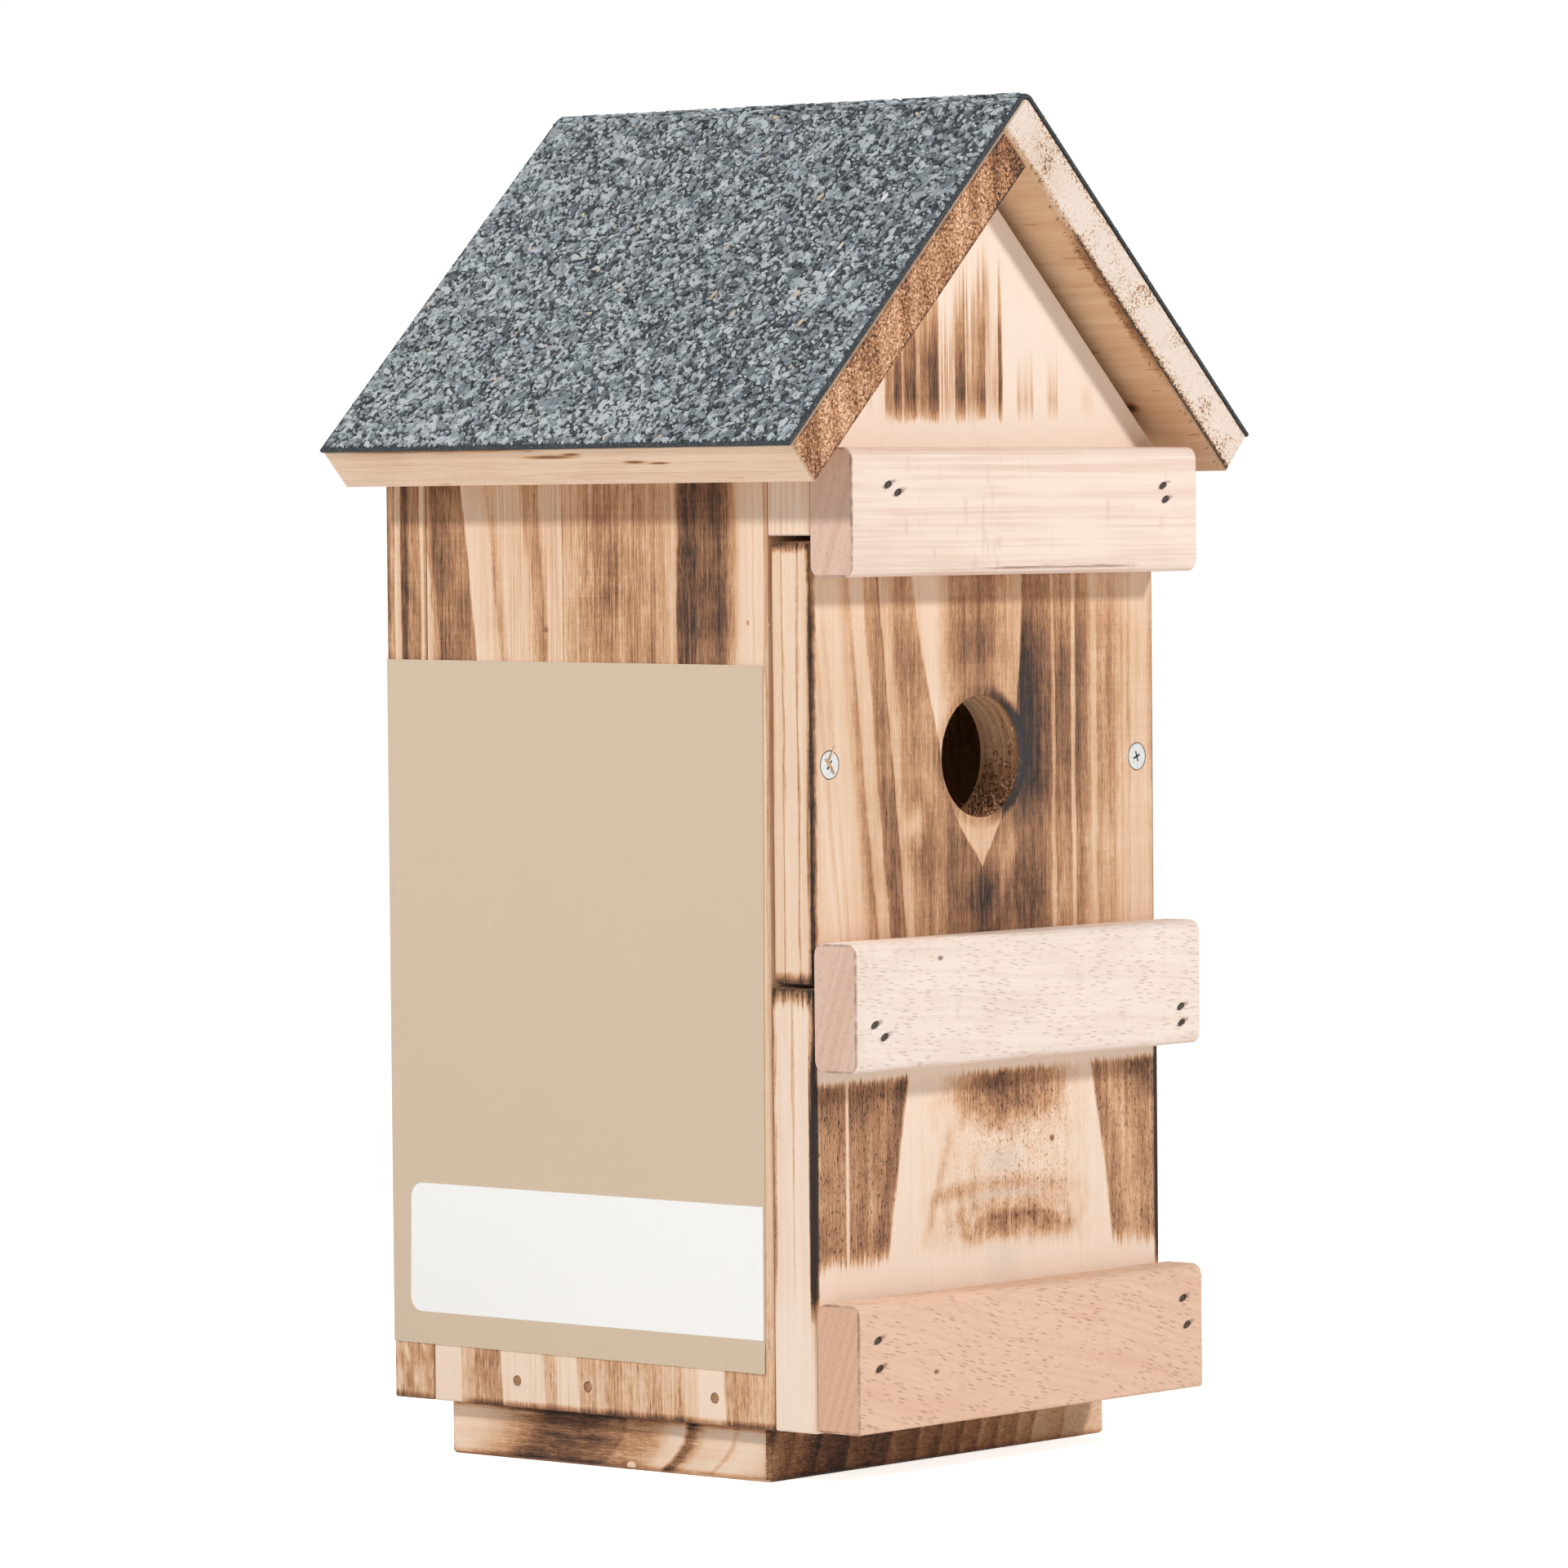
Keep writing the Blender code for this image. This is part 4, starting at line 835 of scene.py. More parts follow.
def roof_board_finish(side):
    """A roof board: sawn faces with grain front to back, and a scorched or a pale fuzzy end."""
    colours = bpy.context.scene.nest_box_colours
    on_left = side < 0
    finish = Finish("roof_board_left_wood" if on_left else "roof_board_right_wood")
    down, height = slope_places(finish, side)
    seed = 80 if on_left else 100
    y = finish.y
    grain_line = finish.joined(down, y, height)
    fibre = finish.noise((0.4, 14, 0.4), 3, seed, vector=grain_line)
    line = finish.noise((2.4, 130, 1.6), 2, seed + 1, vector=grain_line)
    cloud = finish.noise((14, 30, 14), 2, seed + 2)
    flaw = finish.noise((1.0, 16, 1.0), 1, seed + 3, vector=grain_line).rise(0.7, 0.76)
    face_level = 0.06 + fibre.sway(0.22) + line.sway(0.36) + cloud.sway(0.3) + flaw * 0.3
    if on_left:
        marks = finish.spots(y, height, [
            ((69, 10.0), (8, 0.6), 0.7, 0.75), ((61, 10.9), (3, 0.4), 0.7, 0.75),
            ((41, 7.9), (3.4, 0.5), 0.7, 0.75), ((33, 7.4), (3.2, 0.4), 0.7, 0.75),
        ])
        brown_edge = (height + fibre.sway(1.6)).rise(11.6, 12.8) * y.between(74, 136, 12)
        face_level = face_level + (marks + brown_edge * 0.5) * down.rise(110, 114)
        face_level = face_level + down.rise(100, 90) * 0.03
    else:
        face_level = face_level + flaw * down.rise(96, 112) * 0.5 + finish.spots(down, y, [
            ((108, 10), (1.4, 6), 0.8, 0.7), ((104, 26), (1.2, 4), 0.8, 0.6),
            ((90, 3), (1.6, 2.2), 0.8, 0.7),
        ])
        torn = finish.noise((1.6, 1.6, 1.6), 3, seed + 8, rough=0.65).sway(6)
        face_level = face_level + (y + torn).rise(-11.6, -14.6) * down.between(26, 76, 14) * 0.5
        face_level = face_level + height.rise(2, 1) * (0.07 + down.rise(40, 100) * 0.1)
    face = finish.ramp(face_level, [
        (0.0, colours.roof_wood), (0.2, colours.warm), (0.45, colours.toasted),
        (0.7, colours.brown), (1.0, colours.char),
    ])
    mottle = finish.noise((0.95, 0.95, 0.95), 3, seed + 4, rough=0.7)
    tuft = finish.noise((0.42, 0.42, 0.42), 2, seed + 5, rough=0.6)
    patch = finish.noise((13, 13, 13), 2, seed + 6)
    make_end = scorched_end if on_left else pale_end
    end = make_end(finish, down, height, seed + 7, mottle, tuft, patch)
    # The undersides, short of the eave's cut faces, are drawn yellower and darker than the other
    # faces.
    darker_underside = finish.facing_z.rise(-0.3, -0.6) * down.rise(112, 104)
    face = finish.mix(darker_underside * 0.8, face, finish.filtered(face, (0.94, 0.9, 0.8)))
    on_end = abs(finish.facing_y).rise(0.6, 0.85)
    relief = choose(on_end, mottle * 0.6 + tuft * 0.4, fibre * 0.7 + line * 0.3)
    return finish.complete(finish.mix(on_end, face, end), 0.8, relief, 0.0006, 0.55)


RAILS = ("rail_top", "rail_middle", "rail_bottom")
NAILS_IN_RAIL = range(1, 5)

# Where the photograph shows a knot on a rail: x and z.
RAIL_KNOTS = {"rail_middle": (33.5, 120.5), "rail_bottom": (30.5, 14.3)}


def beech_finish(rail, base, seed, slant, bend, flecks, lines):
    """A planed beech rail: fine lines, slanted rays, worn ends, and at each nail a dark spot that
    is painted shade of its dent together with crushed, torn wood.
    """
    colours = bpy.context.scene.nest_box_colours
    finish = Finish(f"beech_{rail}")
    fibre = finish.noise((16, 0.5, 0.35), 3, seed)
    cloud = finish.noise((22, 9, 9), 2, seed + 2)
    wave = finish.noise((46, 46, 46), 1, seed + 8).sway(bend)
    unrolled = finish.z + finish.y * 0.8 + wave
    run = finish.x * math.cos(slant) - unrolled * math.sin(slant)
    climb = unrolled * math.cos(slant) + finish.x * math.sin(slant)
    band = finish.noise((90, 1.1, 5), 2, seed + 1, vector=finish.joined(run, climb, finish.y))
    ray = finish.flecks((6.6, 0.95, 1), seed + 3, finish.joined(run, climb)).rise(0.26, 0.12)
    rays = ray * finish.noise((7, 7, 4), 2, seed + 4).rise(0.36, 0.6)
    level = fibre.sway(0.5) + band.sway(lines) + cloud.sway(0.5)
    shown = finish.mix(level.rise(-0.35, 0.4) * 0.5 - 0.12, base, screen(214, 164, 134))
    shown = finish.mix(rays * flecks, shown, colours.fleck)
    smear = finish.noise((3.5, 40, 11), 2, seed + 9).rise(0.62, 0.76) * (1 - flecks) * 0.3
    shown = finish.mix(smear, shown, screen(206, 172, 160))
    shown = finish.shade(shown, 0.96 + fibre * 0.08)
    if rail == "rail_middle":
        shown = finish.filtered(shown, (1.0, 1.06, 1.1))
    pore = finish.noise((0.6, 0.45, 0.9), 2, seed + 6)
    on_end = abs(finish.facing_x).rise(0.6, 0.85)
    shown = finish.mix(on_end, shown, beech_end(finish, rail, seed, pore))
    shown = beech_wear(finish, rail, seed, on_end, shown)
    if rail == "rail_top":
        brown_line = abs(finish.z - 220.3 - fibre.sway(1.2)).rise(0.5, 0.1)
        brown_line = brown_line * finish.x.between(56, 112, 8) * (1 - on_end)
        shown = finish.mix(brown_line * 0.7, shown, screen(128, 82, 58))
    # Painted shade: a dark spot round each nail stands in for the shade in its dent, together with
    # the crushed and torn wood there.
    for number in NAILS_IN_RAIL:
        middle = middle_of(f"{rail}_nail_{number}")
        aslant = finish.z - (finish.x - middle.x) * 0.325
        dent_shade_and_crush = finish.spot(finish.x, aslant, (middle.x, middle.z), (1.7, 0.95), 0.16)
        torn = finish.spot(finish.x, aslant, (middle.x + 0.5, middle.z), (2.5, 0.8), 0.4)
        dent_shade_and_crush = dent_shade_and_crush.most(torn * (fibre + 0.1).rise(0.46, 0.6) * 0.7) * (1 - on_end)
        shown = finish.mix(dent_shade_and_crush * finish.y.rise(2, 0) * 0.85, shown, screen(92, 66, 50))
    relief = choose(on_end, pore, fibre * 0.7 + rays * -0.3)
    return finish.complete(shown, 0.55 + fibre * 0.12, relief, 0.0001, 0.5)


def beech_end(finish, rail, seed, pore):
    """The sawn end of a rail, with rings and pores."""
    colours = bpy.context.scene.nest_box_colours
    rings = finish.joined(finish.y + 14 + finish.z * 0.35)
    ring = finish.noise((1.5, 1, 1), 2, seed + 5, vector=rings)
    end = finish.mix(ring.rise(0.25, 0.8) * 0.42, colours.beech_end, screen(196, 150, 124))
    end = finish.mix(pore.rise(0.56, 0.72) * 0.35, end, screen(160, 112, 88))
    return finish.filtered(end, (0.98, 0.86, 0.75)) if rail == "rail_bottom" else end


def beech_wear(finish, rail, seed, on_end, shown):
    """Dark worn edges at a rail's ends, and its knot."""
    low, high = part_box(rail)
    bottom, top = (low.z - CORNER.z) / MM, (high.z - CORNER.z) / MM
    worn = finish.noise((3, 3, 3), 1, seed + 7)
    near_end = (finish.x + 0.05).least(BODY_WIDTH - finish.x)
    arris = near_end.rise(0.42, 0.1) * (1 - on_end) * worn.rise(0.3, 0.6)
    from_edge = (finish.z - bottom).least(top - finish.z).least(finish.y + 14.5)
    outline = from_edge.rise(0.85, 0.3) * on_end * worn.rise(0.2, 0.7)
    shown = finish.mix(arris * 0.6, shown, screen(120, 82, 60))
    shown = finish.mix(outline * 0.8, shown, screen(98, 65, 47))
    if rail in RAIL_KNOTS:
        knot = finish.spot(finish.x, finish.z, RAIL_KNOTS[rail], (1.0, 0.6), 0.5)
        shown = finish.mix(knot * 0.8, shown, screen(96, 62, 45))
    return shown


def metal_finish(name, base, dull, roughness, seed, spots, metallic=0.85, screw=None):
    """Plated or bare metal with small stains and a fine relief, and painted shade darkening a
    screw's recess.
    """
    finish = Finish(name)
    cloud = finish.noise((1.1, 1.1, 1.1), 3, seed)
    fine = finish.noise((0.25, 0.25, 0.25), 2, seed + 1)
    shown = finish.mix(cloud.rise(0.4, 0.72) * spots, base, dull)
    shown = finish.shade(shown, 0.85 + fine * 0.3)
    if screw:
        middle = middle_of(screw)
        # Painted shade: the screw's cross recess is drawn darker.
        recess_shade = finish.spot(finish.x, finish.z, (middle.x, middle.z), (2.2, 2.2), 0.05)
        recess_shade = recess_shade * finish.y.between(0.42, 1.8, 0.06)
        shown = finish.mix(recess_shade * 0.85, shown, screen(84, 90, 94))
    return finish.complete(
        shown, roughness + cloud * 0.25, fine, 0.00004, 0.4, metallic=metallic, specular=0.5)


def card_finish(name, base, seed):
    """Smooth card: a faint paper tooth and paler cut edges."""
    finish = Finish(name)
    tooth = finish.noise((0.25, 0.25, 0.25), 2, seed)
    cloud = finish.noise((30, 30, 30), 2, seed + 1)
    cut = abs(finish.facing_x).rise(0.8, 0.4)
    shown = finish.mix(cut, base, screen(240, 226, 208))
    shown = finish.shade(shown, 0.985 + tooth * 0.015 + cloud * 0.02)
    return finish.complete(shown, 0.72, tooth, 0.00003, 0.3, specular=0.25)


def tone_finish(name, stops, roughness, seed, specular):
    """For scattered small shapes: each takes its colour from its own stored tone."""
    finish = Finish(name)
    tone = finish.node("ShaderNodeAttribute", attribute_name="tone")
    level = Signal(finish, tone.outputs["Fac"])
    fine = finish.noise((0.35, 0.35, 0.35), 2, seed)
    cloud = finish.noise((1.6, 1.6, 1.6), 2, seed + 1)
    shown = finish.ramp(level + fine.sway(0.1) + cloud.sway(0.12), stops)
    shown = finish.shade(shown, 0.9 + fine * 0.2)
    return finish.complete(shown, roughness, fine, 0.0002, 0.4, specular=specular)


def felt_finish():
    """Bitumen between the chips: near black, granular, greyer with dust."""
    colours = bpy.context.scene.nest_box_colours
    finish = Finish("felt_bitumen")
    grit = finish.noise((0.5, 0.5, 0.5), 3, 131, rough=0.6)
    dust = finish.noise((5, 5, 5), 2, 132)
    down = slope_places(finish, -1)[0]
    dusty_places = (((13, 63), (8, 7)), ((50, 108), (13, 6)))
    for middle, halves in dusty_places:
        patch = finish.spot(finish.y, down, middle, halves, 0.8) * finish.x.rise(71, 70)
        dust = dust.most(patch * 1.6)
    dusty = grit.rise(0.42, 0.7) * (0.35 + dust * 0.5)
    shown = finish.mix(dusty, colours.bitumen, screen(112, 118, 122))
    return finish.complete(shown, 0.7, grit, 0.0005, 0.8)


def dress(names, material):
    """Puts a material on all slots of the named CAD nodes."""
    for name in names:
        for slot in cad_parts[name].material_slots:
            slot.material = material


def deselect():
    bpy.ops.object.select_all(action="DESELECT")


def start_editing():
    bpy.ops.object.mode_set(mode="EDIT")
    bpy.ops.mesh.select_mode(type="VERT")


def pick_vertices(piece, test):
    """Selects the vertices whose place in the world passes the test, and nothing else."""
    bpy.ops.mesh.select_all(action="DESELECT")
    shape = bmesh.from_edit_mesh(piece.data)
    for vertex in shape.verts:
        vertex.select = bool(test(piece.matrix_world @ vertex.co))
    shape.select_flush(True)
    bmesh.update_edit_mesh(piece.data)


def apply_modifiers(piece):
    bpy.context.view_layer.objects.active = piece
    for name in [modifier.name for modifier in piece.modifiers]:
        bpy.ops.object.modifier_apply(modifier=name)


def settle(piece, name, body, material):
    """Ends a piece: name, origin at the world's origin, finish, slot and body."""
    deselect()
    piece.select_set(True)
    bpy.context.view_layer.objects.active = piece
    bpy.ops.object.transform_apply(location=True, rotation=True, scale=True)
    piece.name = name
    piece.data.name = name
    piece.data.materials.clear()
    piece.data.materials.append(material)
    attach(piece, body)
    return piece


def face_outwards():
    """Joins the active mesh's equal points and turns its faces outwards."""
    start_editing()
    bpy.ops.mesh.select_all(action="SELECT")
    bpy.ops.mesh.remove_doubles(threshold=0.000001)
    bpy.ops.mesh.normals_make_consistent(inside=False)
    bpy.ops.object.mode_set(mode="OBJECT")


def sheet_on_left_wall(corners, stand_off, thickness, round_left=0.0, curl=0.0):
    """A thin sheet against the left wall. Corners are (depth, height) in millimetres: top back,
    top front, bottom front, bottom back."""
    deselect()
    depths, heights = zip(*corners)
    away = -stand_off / MM
    middle = from_corner(away, (min(depths) + max(depths)) / 2, (min(heights) + max(heights)) / 2)
    bpy.ops.mesh.primitive_plane_add(size=1, location=middle, rotation=(0, -math.pi / 2, 0))
    piece = bpy.context.object
    piece.scale = ((max(heights) - min(heights)) * MM, (max(depths) - min(depths)) * MM, 1)
    bpy.ops.object.transform_apply(location=False, rotation=True, scale=True)
    start_editing()
    for depth, height in corners:
        wanted = from_corner(away, depth, height)
        backwards = wanted.y > middle.y
        upwards = wanted.z > middle.z
        pick_vertices(piece, lambda place: (
            (place.y > middle.y) == backwards and (place.z > middle.z) == upwards))
        picked = next(v.co for v in bmesh.from_edit_mesh(piece.data).verts if v.select)
        bpy.ops.transform.translate(value=wanted - piece.matrix_world @ picked)
    if round_left:
        pick_vertices(piece, lambda place: place.y > middle.y)
        bpy.ops.mesh.bevel(offset=round_left, segments=8, affect="VERTICES")
    else:
        bpy.ops.mesh.select_all(action="SELECT")
        bpy.ops.mesh.subdivide(number_cuts=40)
    if curl:
        lower_front = from_corner(0, 17, 15)
        for reach in (0.0071, 0.0045):
            pick_vertices(piece, lambda place: (place - lower_front).yz.length < reach)
            bpy.ops.transform.translate(value=(-curl / 2, 0, 0))
    bpy.ops.object.mode_set(mode="OBJECT")
    layer = piece.modifiers.new("thickness", "SOLIDIFY")
    layer.thickness = thickness
    layer.offset = 1.0 if piece.data.polygons[0].normal.x < 0 else -1.0
    apply_modifiers(piece)
    return piece


def unit_ring(sides):
    """A filled ring, one unit across, in edit mode and selected all over."""
    deselect()
    bpy.ops.mesh.primitive_circle_add(vertices=sides, radius=0.5, fill_type="NGON")
    start_editing()
    bpy.ops.mesh.select_all(action="SELECT")
    return bpy.context.object


def taken(pattern):
    """Ends a pattern that is in edit mode, reads its corners and faces, and deletes it."""
    bpy.ops.mesh.select_all(action="SELECT")
    bpy.ops.mesh.normals_make_consistent(inside=False)
    bpy.ops.object.mode_set(mode="OBJECT")
    corners = np.array([vertex.co[:] for vertex in pattern.data.vertices])
    faces = [tuple(face.vertices) for face in pattern.data.polygons]
    bpy.data.objects.remove(pattern, do_unlink=True)
    return corners, faces


def flake_shape(seed):
    """A thin slate flake, one unit across, with its own ragged outline."""
    flake = unit_ring(5)
    bpy.ops.mesh.extrude_region_move(TRANSFORM_OT_translate={"value": (0, 0, 0.5)})
    bpy.ops.transform.resize(value=(0.9, 0.86, 1))
    bpy.ops.mesh.select_all(action="SELECT")
    bpy.ops.transform.vertex_random(offset=0.16, uniform=0.1, normal=0, seed=seed)
    return taken(flake)


def strand_shape():
    """One torn fibre, one unit long, thinning and bending towards its tip."""
    strand = unit_ring(4)
    for shift, width in ((0.03, 0.85), (0.1, 0.7), (0.2, 0.35)):
        bpy.ops.mesh.extrude_region_move(TRANSFORM_OT_translate={"value": (shift, 0, 0.333)})
        bpy.ops.transform.resize(value=(width, width, 1))
    return taken(strand)


def scattered(name, shapes, picks, frames, places, tones):
    """One mesh of many copies of a few shapes, each turned, placed and given its tone."""
    corners = []
    faces = []
    levels = []
    start = 0
    for pick, turn, place, tone in zip(picks, frames, places, tones):
        shape, sides = shapes[pick]
        corners.append(shape @ turn + place)
        faces.extend(tuple(start + index for index in side) for side in sides)
        levels.extend([tone] * len(shape))
        start += len(shape)
    data = bpy.data.meshes.new(name)
    data.from_pydata(np.concatenate(corners).tolist(), [], faces)
    stored = data.attributes.new("tone", "FLOAT", "POINT")
    stored.data.foreach_set("value", np.array(levels, np.float32))
    piece = bpy.data.objects.new(name, data)
    bpy.context.collection.objects.link(piece)
    return piece


# The felt is laid out flat from the left eave over the ridge to the right eave. Heights are above
# the roof boards' undersides, and distances down a slope start at RIDGE.
FELT_UNDERSIDE = 13.3
FELT_DEPTH = BODY_DEPTH - ROOF_FRONT
FOLD_HEIGHT = 11.1
FOLD_CENTRE = Vector((RIDGE.x, 0, RIDGE.z + FOLD_HEIGHT / math.cos(ROOF_PITCH)))
FOLD_RADIUS = FELT_UNDERSIDE - FOLD_HEIGHT
FOLD_START = -FOLD_HEIGHT * math.tan(ROOF_PITCH)
FOLD_RUN = 2 * ROOF_PITCH * FOLD_RADIUS
LEFT_EAVE = 119.1
RIGHT_EAVE = 115.8
LEFT_RUN = LEFT_EAVE - FOLD_START
RIDGE_AT = LEFT_RUN + FOLD_RUN / 2
FELT_WIDTH = LEFT_RUN + FOLD_RUN + RIGHT_EAVE - FOLD_START

# Chips that catch the light on the left slope, painted pale as highlights and laid flat and high:
# y, distance down the slope, tone.
HIGHLIGHT_CHIPS = (
    (8.6, 28, 1.0), (12, 45.5, 0.97), (8.2, 56.5, 1.0), (31, 26, 0.9), (45, 62.5, 0.9),
    (16, 63.5, 0.92), (34, 70, 0.9), (8, 75, 0.94),
)

# Worn places of the left slope, also in y and distance down: middle and half sizes.
WORN_PLACES = (((13, 63), (7, 6)), ((50, 108), (12, 4.5)))


def slope_directions(side):
    """Down a slope, and outwards from it."""
    down = Vector((side * math.cos(ROOF_PITCH), 0, -math.sin(ROOF_PITCH)))
    outwards = Vector((side * math.sin(ROOF_PITCH), 0, math.cos(ROOF_PITCH)))
    return down, outwards


def make_felt_sheet(sizes):
    """One sheet: the left slope, a spun fold over the ridge, the right slope, its thickness."""
    deselect()
    left_down, left_out = slope_directions(-1)
    right_down, right_out = slope_directions(1)
    middle = RIDGE + left_down * (FOLD_START + LEFT_RUN / 2) + left_out * FELT_UNDERSIDE
    place = from_corner(middle.x, (BODY_DEPTH + ROOF_FRONT) / 2, middle.z)
    bpy.ops.mesh.primitive_plane_add(size=1, location=place, rotation=(0, -ROOF_PITCH, 0))
    sheet = bpy.context.object
    sheet.scale = (LEFT_RUN * MM, FELT_DEPTH * MM, 1)
    bpy.ops.object.transform_apply(location=True, rotation=True, scale=True)
    start_editing()
    highest = max(vertex.co.z for vertex in bmesh.from_edit_mesh(sheet.data).verts)
    pick_vertices(sheet, lambda corner: corner.z > highest - 0.0001)
    centre = from_corner(FOLD_CENTRE.x, 0, FOLD_CENTRE.z)
    bpy.ops.mesh.spin(steps=10, angle=2 * ROOF_PITCH, center=centre, axis=(0, -1, 0))
    bpy.ops.mesh.extrude_region_move(
        TRANSFORM_OT_translate={"value": right_down * (RIGHT_EAVE - FOLD_START) * MM})
    bpy.ops.object.mode_set(mode="OBJECT")
    right_end = max(vertex.co.x for vertex in sheet.data.vertices)
    wanted = from_corner(*(RIDGE + right_down * RIGHT_EAVE + right_out * FELT_UNDERSIDE)).x
    if abs(right_end - wanted) > 0.0002:
        raise RuntimeError(f"the felt's right edge is at {right_end}, not at {wanted}")
    face_outwards()
    upwards = sum(face.normal.z for face in sheet.data.polygons) > 0
    layer = sheet.modifiers.new("thickness", "SOLIDIFY")
    layer.thickness = sizes.felt_thickness
    layer.offset = 1.0 if upwards else -1.0
    layer.use_even_offset = True
    edge = sheet.modifiers.new("edge", "BEVEL")
    edge.width = 0.0003
    edge.segments = 2
    apply_modifiers(sheet)
    return sheet


def laid_out(spread):
    """Turns distances along the laid-out felt, from the left eave, into places and directions."""
    turn = np.clip((spread - LEFT_RUN) / FOLD_RUN, 0, 1) * 2 * ROOF_PITCH - ROOF_PITCH
    outwards = np.stack([np.sin(turn), np.zeros_like(turn), np.cos(turn)], 1)
    onwards = np.stack([np.cos(turn), np.zeros_like(turn), -np.sin(turn)], 1)
    before = np.minimum(spread - LEFT_RUN, 0)[:, None]
    after = np.maximum(spread - LEFT_RUN - FOLD_RUN, 0)[:, None]
    place = np.array(FOLD_CENTRE) + outwards * FOLD_RADIUS + onwards * (before + after)
    return place, onwards, outwards


def turned(start, end, turn):
    """Directions turned from start towards end, which stands square to it."""
    return start * np.cos(turn)[:, None] + end * np.sin(turn)[:, None]


def make_chips(sizes):
    """Slate chips over the felt, in jittered rows that overlap. Each slope has two meshes."""
    draw = np.random.default_rng(sizes.seed)
    spacing = sizes.chip_spacing / MM
    row = sizes.chip_rows / MM
    jitter = 0.75
    along, across = np.meshgrid(
        np.arange(0.4, FELT_DEPTH, spacing), np.arange(0.4, FELT_WIDTH, row))
    count = along.size
    along = along.ravel() + draw.uniform(-jitter, jitter, count) * spacing
    across = across.ravel() + draw.uniform(-jitter, jitter, count) * row
    size = np.exp(draw.normal(-0.06, 0.42, count))
    reach = LEFT_EAVE - across
    depth = along + ROOF_FRONT
    worn = np.clip(sum(
        np.exp(-(((depth - middle[0]) / halves[0]) ** 2 + ((reach - middle[1]) / halves[1]) ** 2))
        for middle, halves in WORN_PLACES
    ), 0, 1)
    size = size * (1 - worn * 0.15)
    long_side = np.clip(sizes.chip_length / MM * size, 0.8, 5.0)
    short_side = sizes.chip_width / MM * size * np.exp(draw.normal(0, 0.22, count))
    short_side = np.minimum(np.clip(short_side, 0.6, 3.0), long_side)
    thick = sizes.chip_thickness / MM * np.exp(draw.normal(0, 0.25, count))
    thick = np.clip(thick, 0.2, 0.62)
    heading = draw.uniform(0, math.pi, count)
    pitch = draw.normal(0, math.radians(11), count)
    lean = draw.normal(0, math.radians(12), count)
    tone = draw.normal(0.5, 0.31, count) + worn * 0.5 + (depth - 60) / 1500
    odd_share, odd_tone = 0.003, 0.9
    tone = np.where(draw.random(count) < odd_share, odd_tone, np.clip(tone, 0.02, 0.83))
    raised = []
    # Painted highlights: these chips get a near-white tone, as well as lying flat and high.
    for at_depth, at_reach, highlight_tone in HIGHLIGHT_CHIPS:
        nearest = np.argmin((depth - at_depth) ** 2 + (reach - at_reach) ** 2)
        raised.append(nearest)
        tone[nearest] = highlight_tone
        long_side[nearest] = 3.4
        short_side[nearest] = 1.3
        heading[nearest] = math.radians(100)
        pitch[nearest] = 0
        lean[nearest] = 0
    half = long_side * 0.72 + 0.1
    along = np.clip(along, half, FELT_DEPTH - half)
    across = np.clip(across, half, FELT_WIDTH - half)
    fold_reach = 4.2
    on_fold = np.abs(across - RIDGE_AT) < fold_reach
    heading = np.where(on_fold, draw.normal(0, 0.12, count), heading)
    short_side = np.where(on_fold, np.minimum(short_side, 1.1), short_side)
    pitch = np.where(on_fold, pitch * 0.4, pitch)
    lean = np.where(on_fold, lean * 0.4, lean)
    place, onwards, outwards = laid_out(across)
    lengthways = turned(np.tile([0.0, 1.0, 0.0], (count, 1)), onwards, heading)
    sideways = np.cross(outwards, lengthways)
    lengthways = turned(lengthways, outwards, pitch)
    sideways = turned(sideways, np.cross(lengthways, sideways), lean)
    upright = np.cross(lengthways, sideways)
    frames = np.stack([
        lengthways * long_side[:, None], sideways * short_side[:, None],
        upright * thick[:, None] * 2,
    ], 1)
    stand = np.abs(np.sin(pitch)) * long_side * 0.7 + np.abs(np.sin(lean)) * short_side * 0.7
    stand = stand + thick * 1.15
    base = sizes.felt_thickness / MM - 0.15
    most = sizes.felt_build / MM - 0.04
    lift = base + draw.uniform(0, 0.42, count)
    lift[raised] = most
    lift = np.minimum(lift, most - stand)
    corner = np.array(CORNER) / MM
    place = place + outwards * lift[:, None] + corner
    place[:, 1] = along + ROOF_FRONT + corner[1]
    shapes = [flake_shape(number) for number in range(1, 6)]
    picks = draw.integers(0, len(shapes), count)
    left = across <= RIDGE_AT
    front = along < FELT_DEPTH / 2
    return [
        scattered(
            name, shapes, picks[chosen], frames[chosen] * MM, place[chosen] * MM, tone[chosen])
        for name, chosen in (
            ("felt_chips_left_front", left & front), ("felt_chips_left_back", left & ~front),
            ("felt_chips_right_front", ~left & front), ("felt_chips_right_back", ~left & ~front),
        )
    ]


def make_strands(name, rows):
    """Torn fibres. Each row: base place, direction, length, width, tone, all in millimetres."""
    frames = []
    places = []
    tones = []
    for place, direction, long, wide, tone in rows:
        direction = Vector(direction).normalized()
        side = direction.orthogonal().normalized()
        other = direction.cross(side)
        frames.append(np.array([side * wide * MM, other * wide * MM, direction * long * MM]))
        places.append(np.array(from_corner(*place)))
        tones.append(tone)
    return scattered(name, [strand_shape()], [0] * len(rows), frames, places, tones)


def torn_row(draw, place, direction, *limits):
    """A row for make_strands, its length, width and tone drawn between pairs of limits."""
    return (place, direction, *(draw.uniform(*pair) for pair in limits))


def hole_fibre(draw, turn, radius, depths, spread, forward, *limits):
    """A torn fibre on the entrance hole's wall that points inwards."""
    across, up = math.cos(turn), math.sin(turn)
    place = (HOLE_X + across * radius, draw.uniform(*depths), HOLE_Z + up * radius)
    inward = (draw.normal(-across, spread), draw.normal(*forward), draw.normal(-up, spread))
    return torn_row(draw, place, inward, *limits)


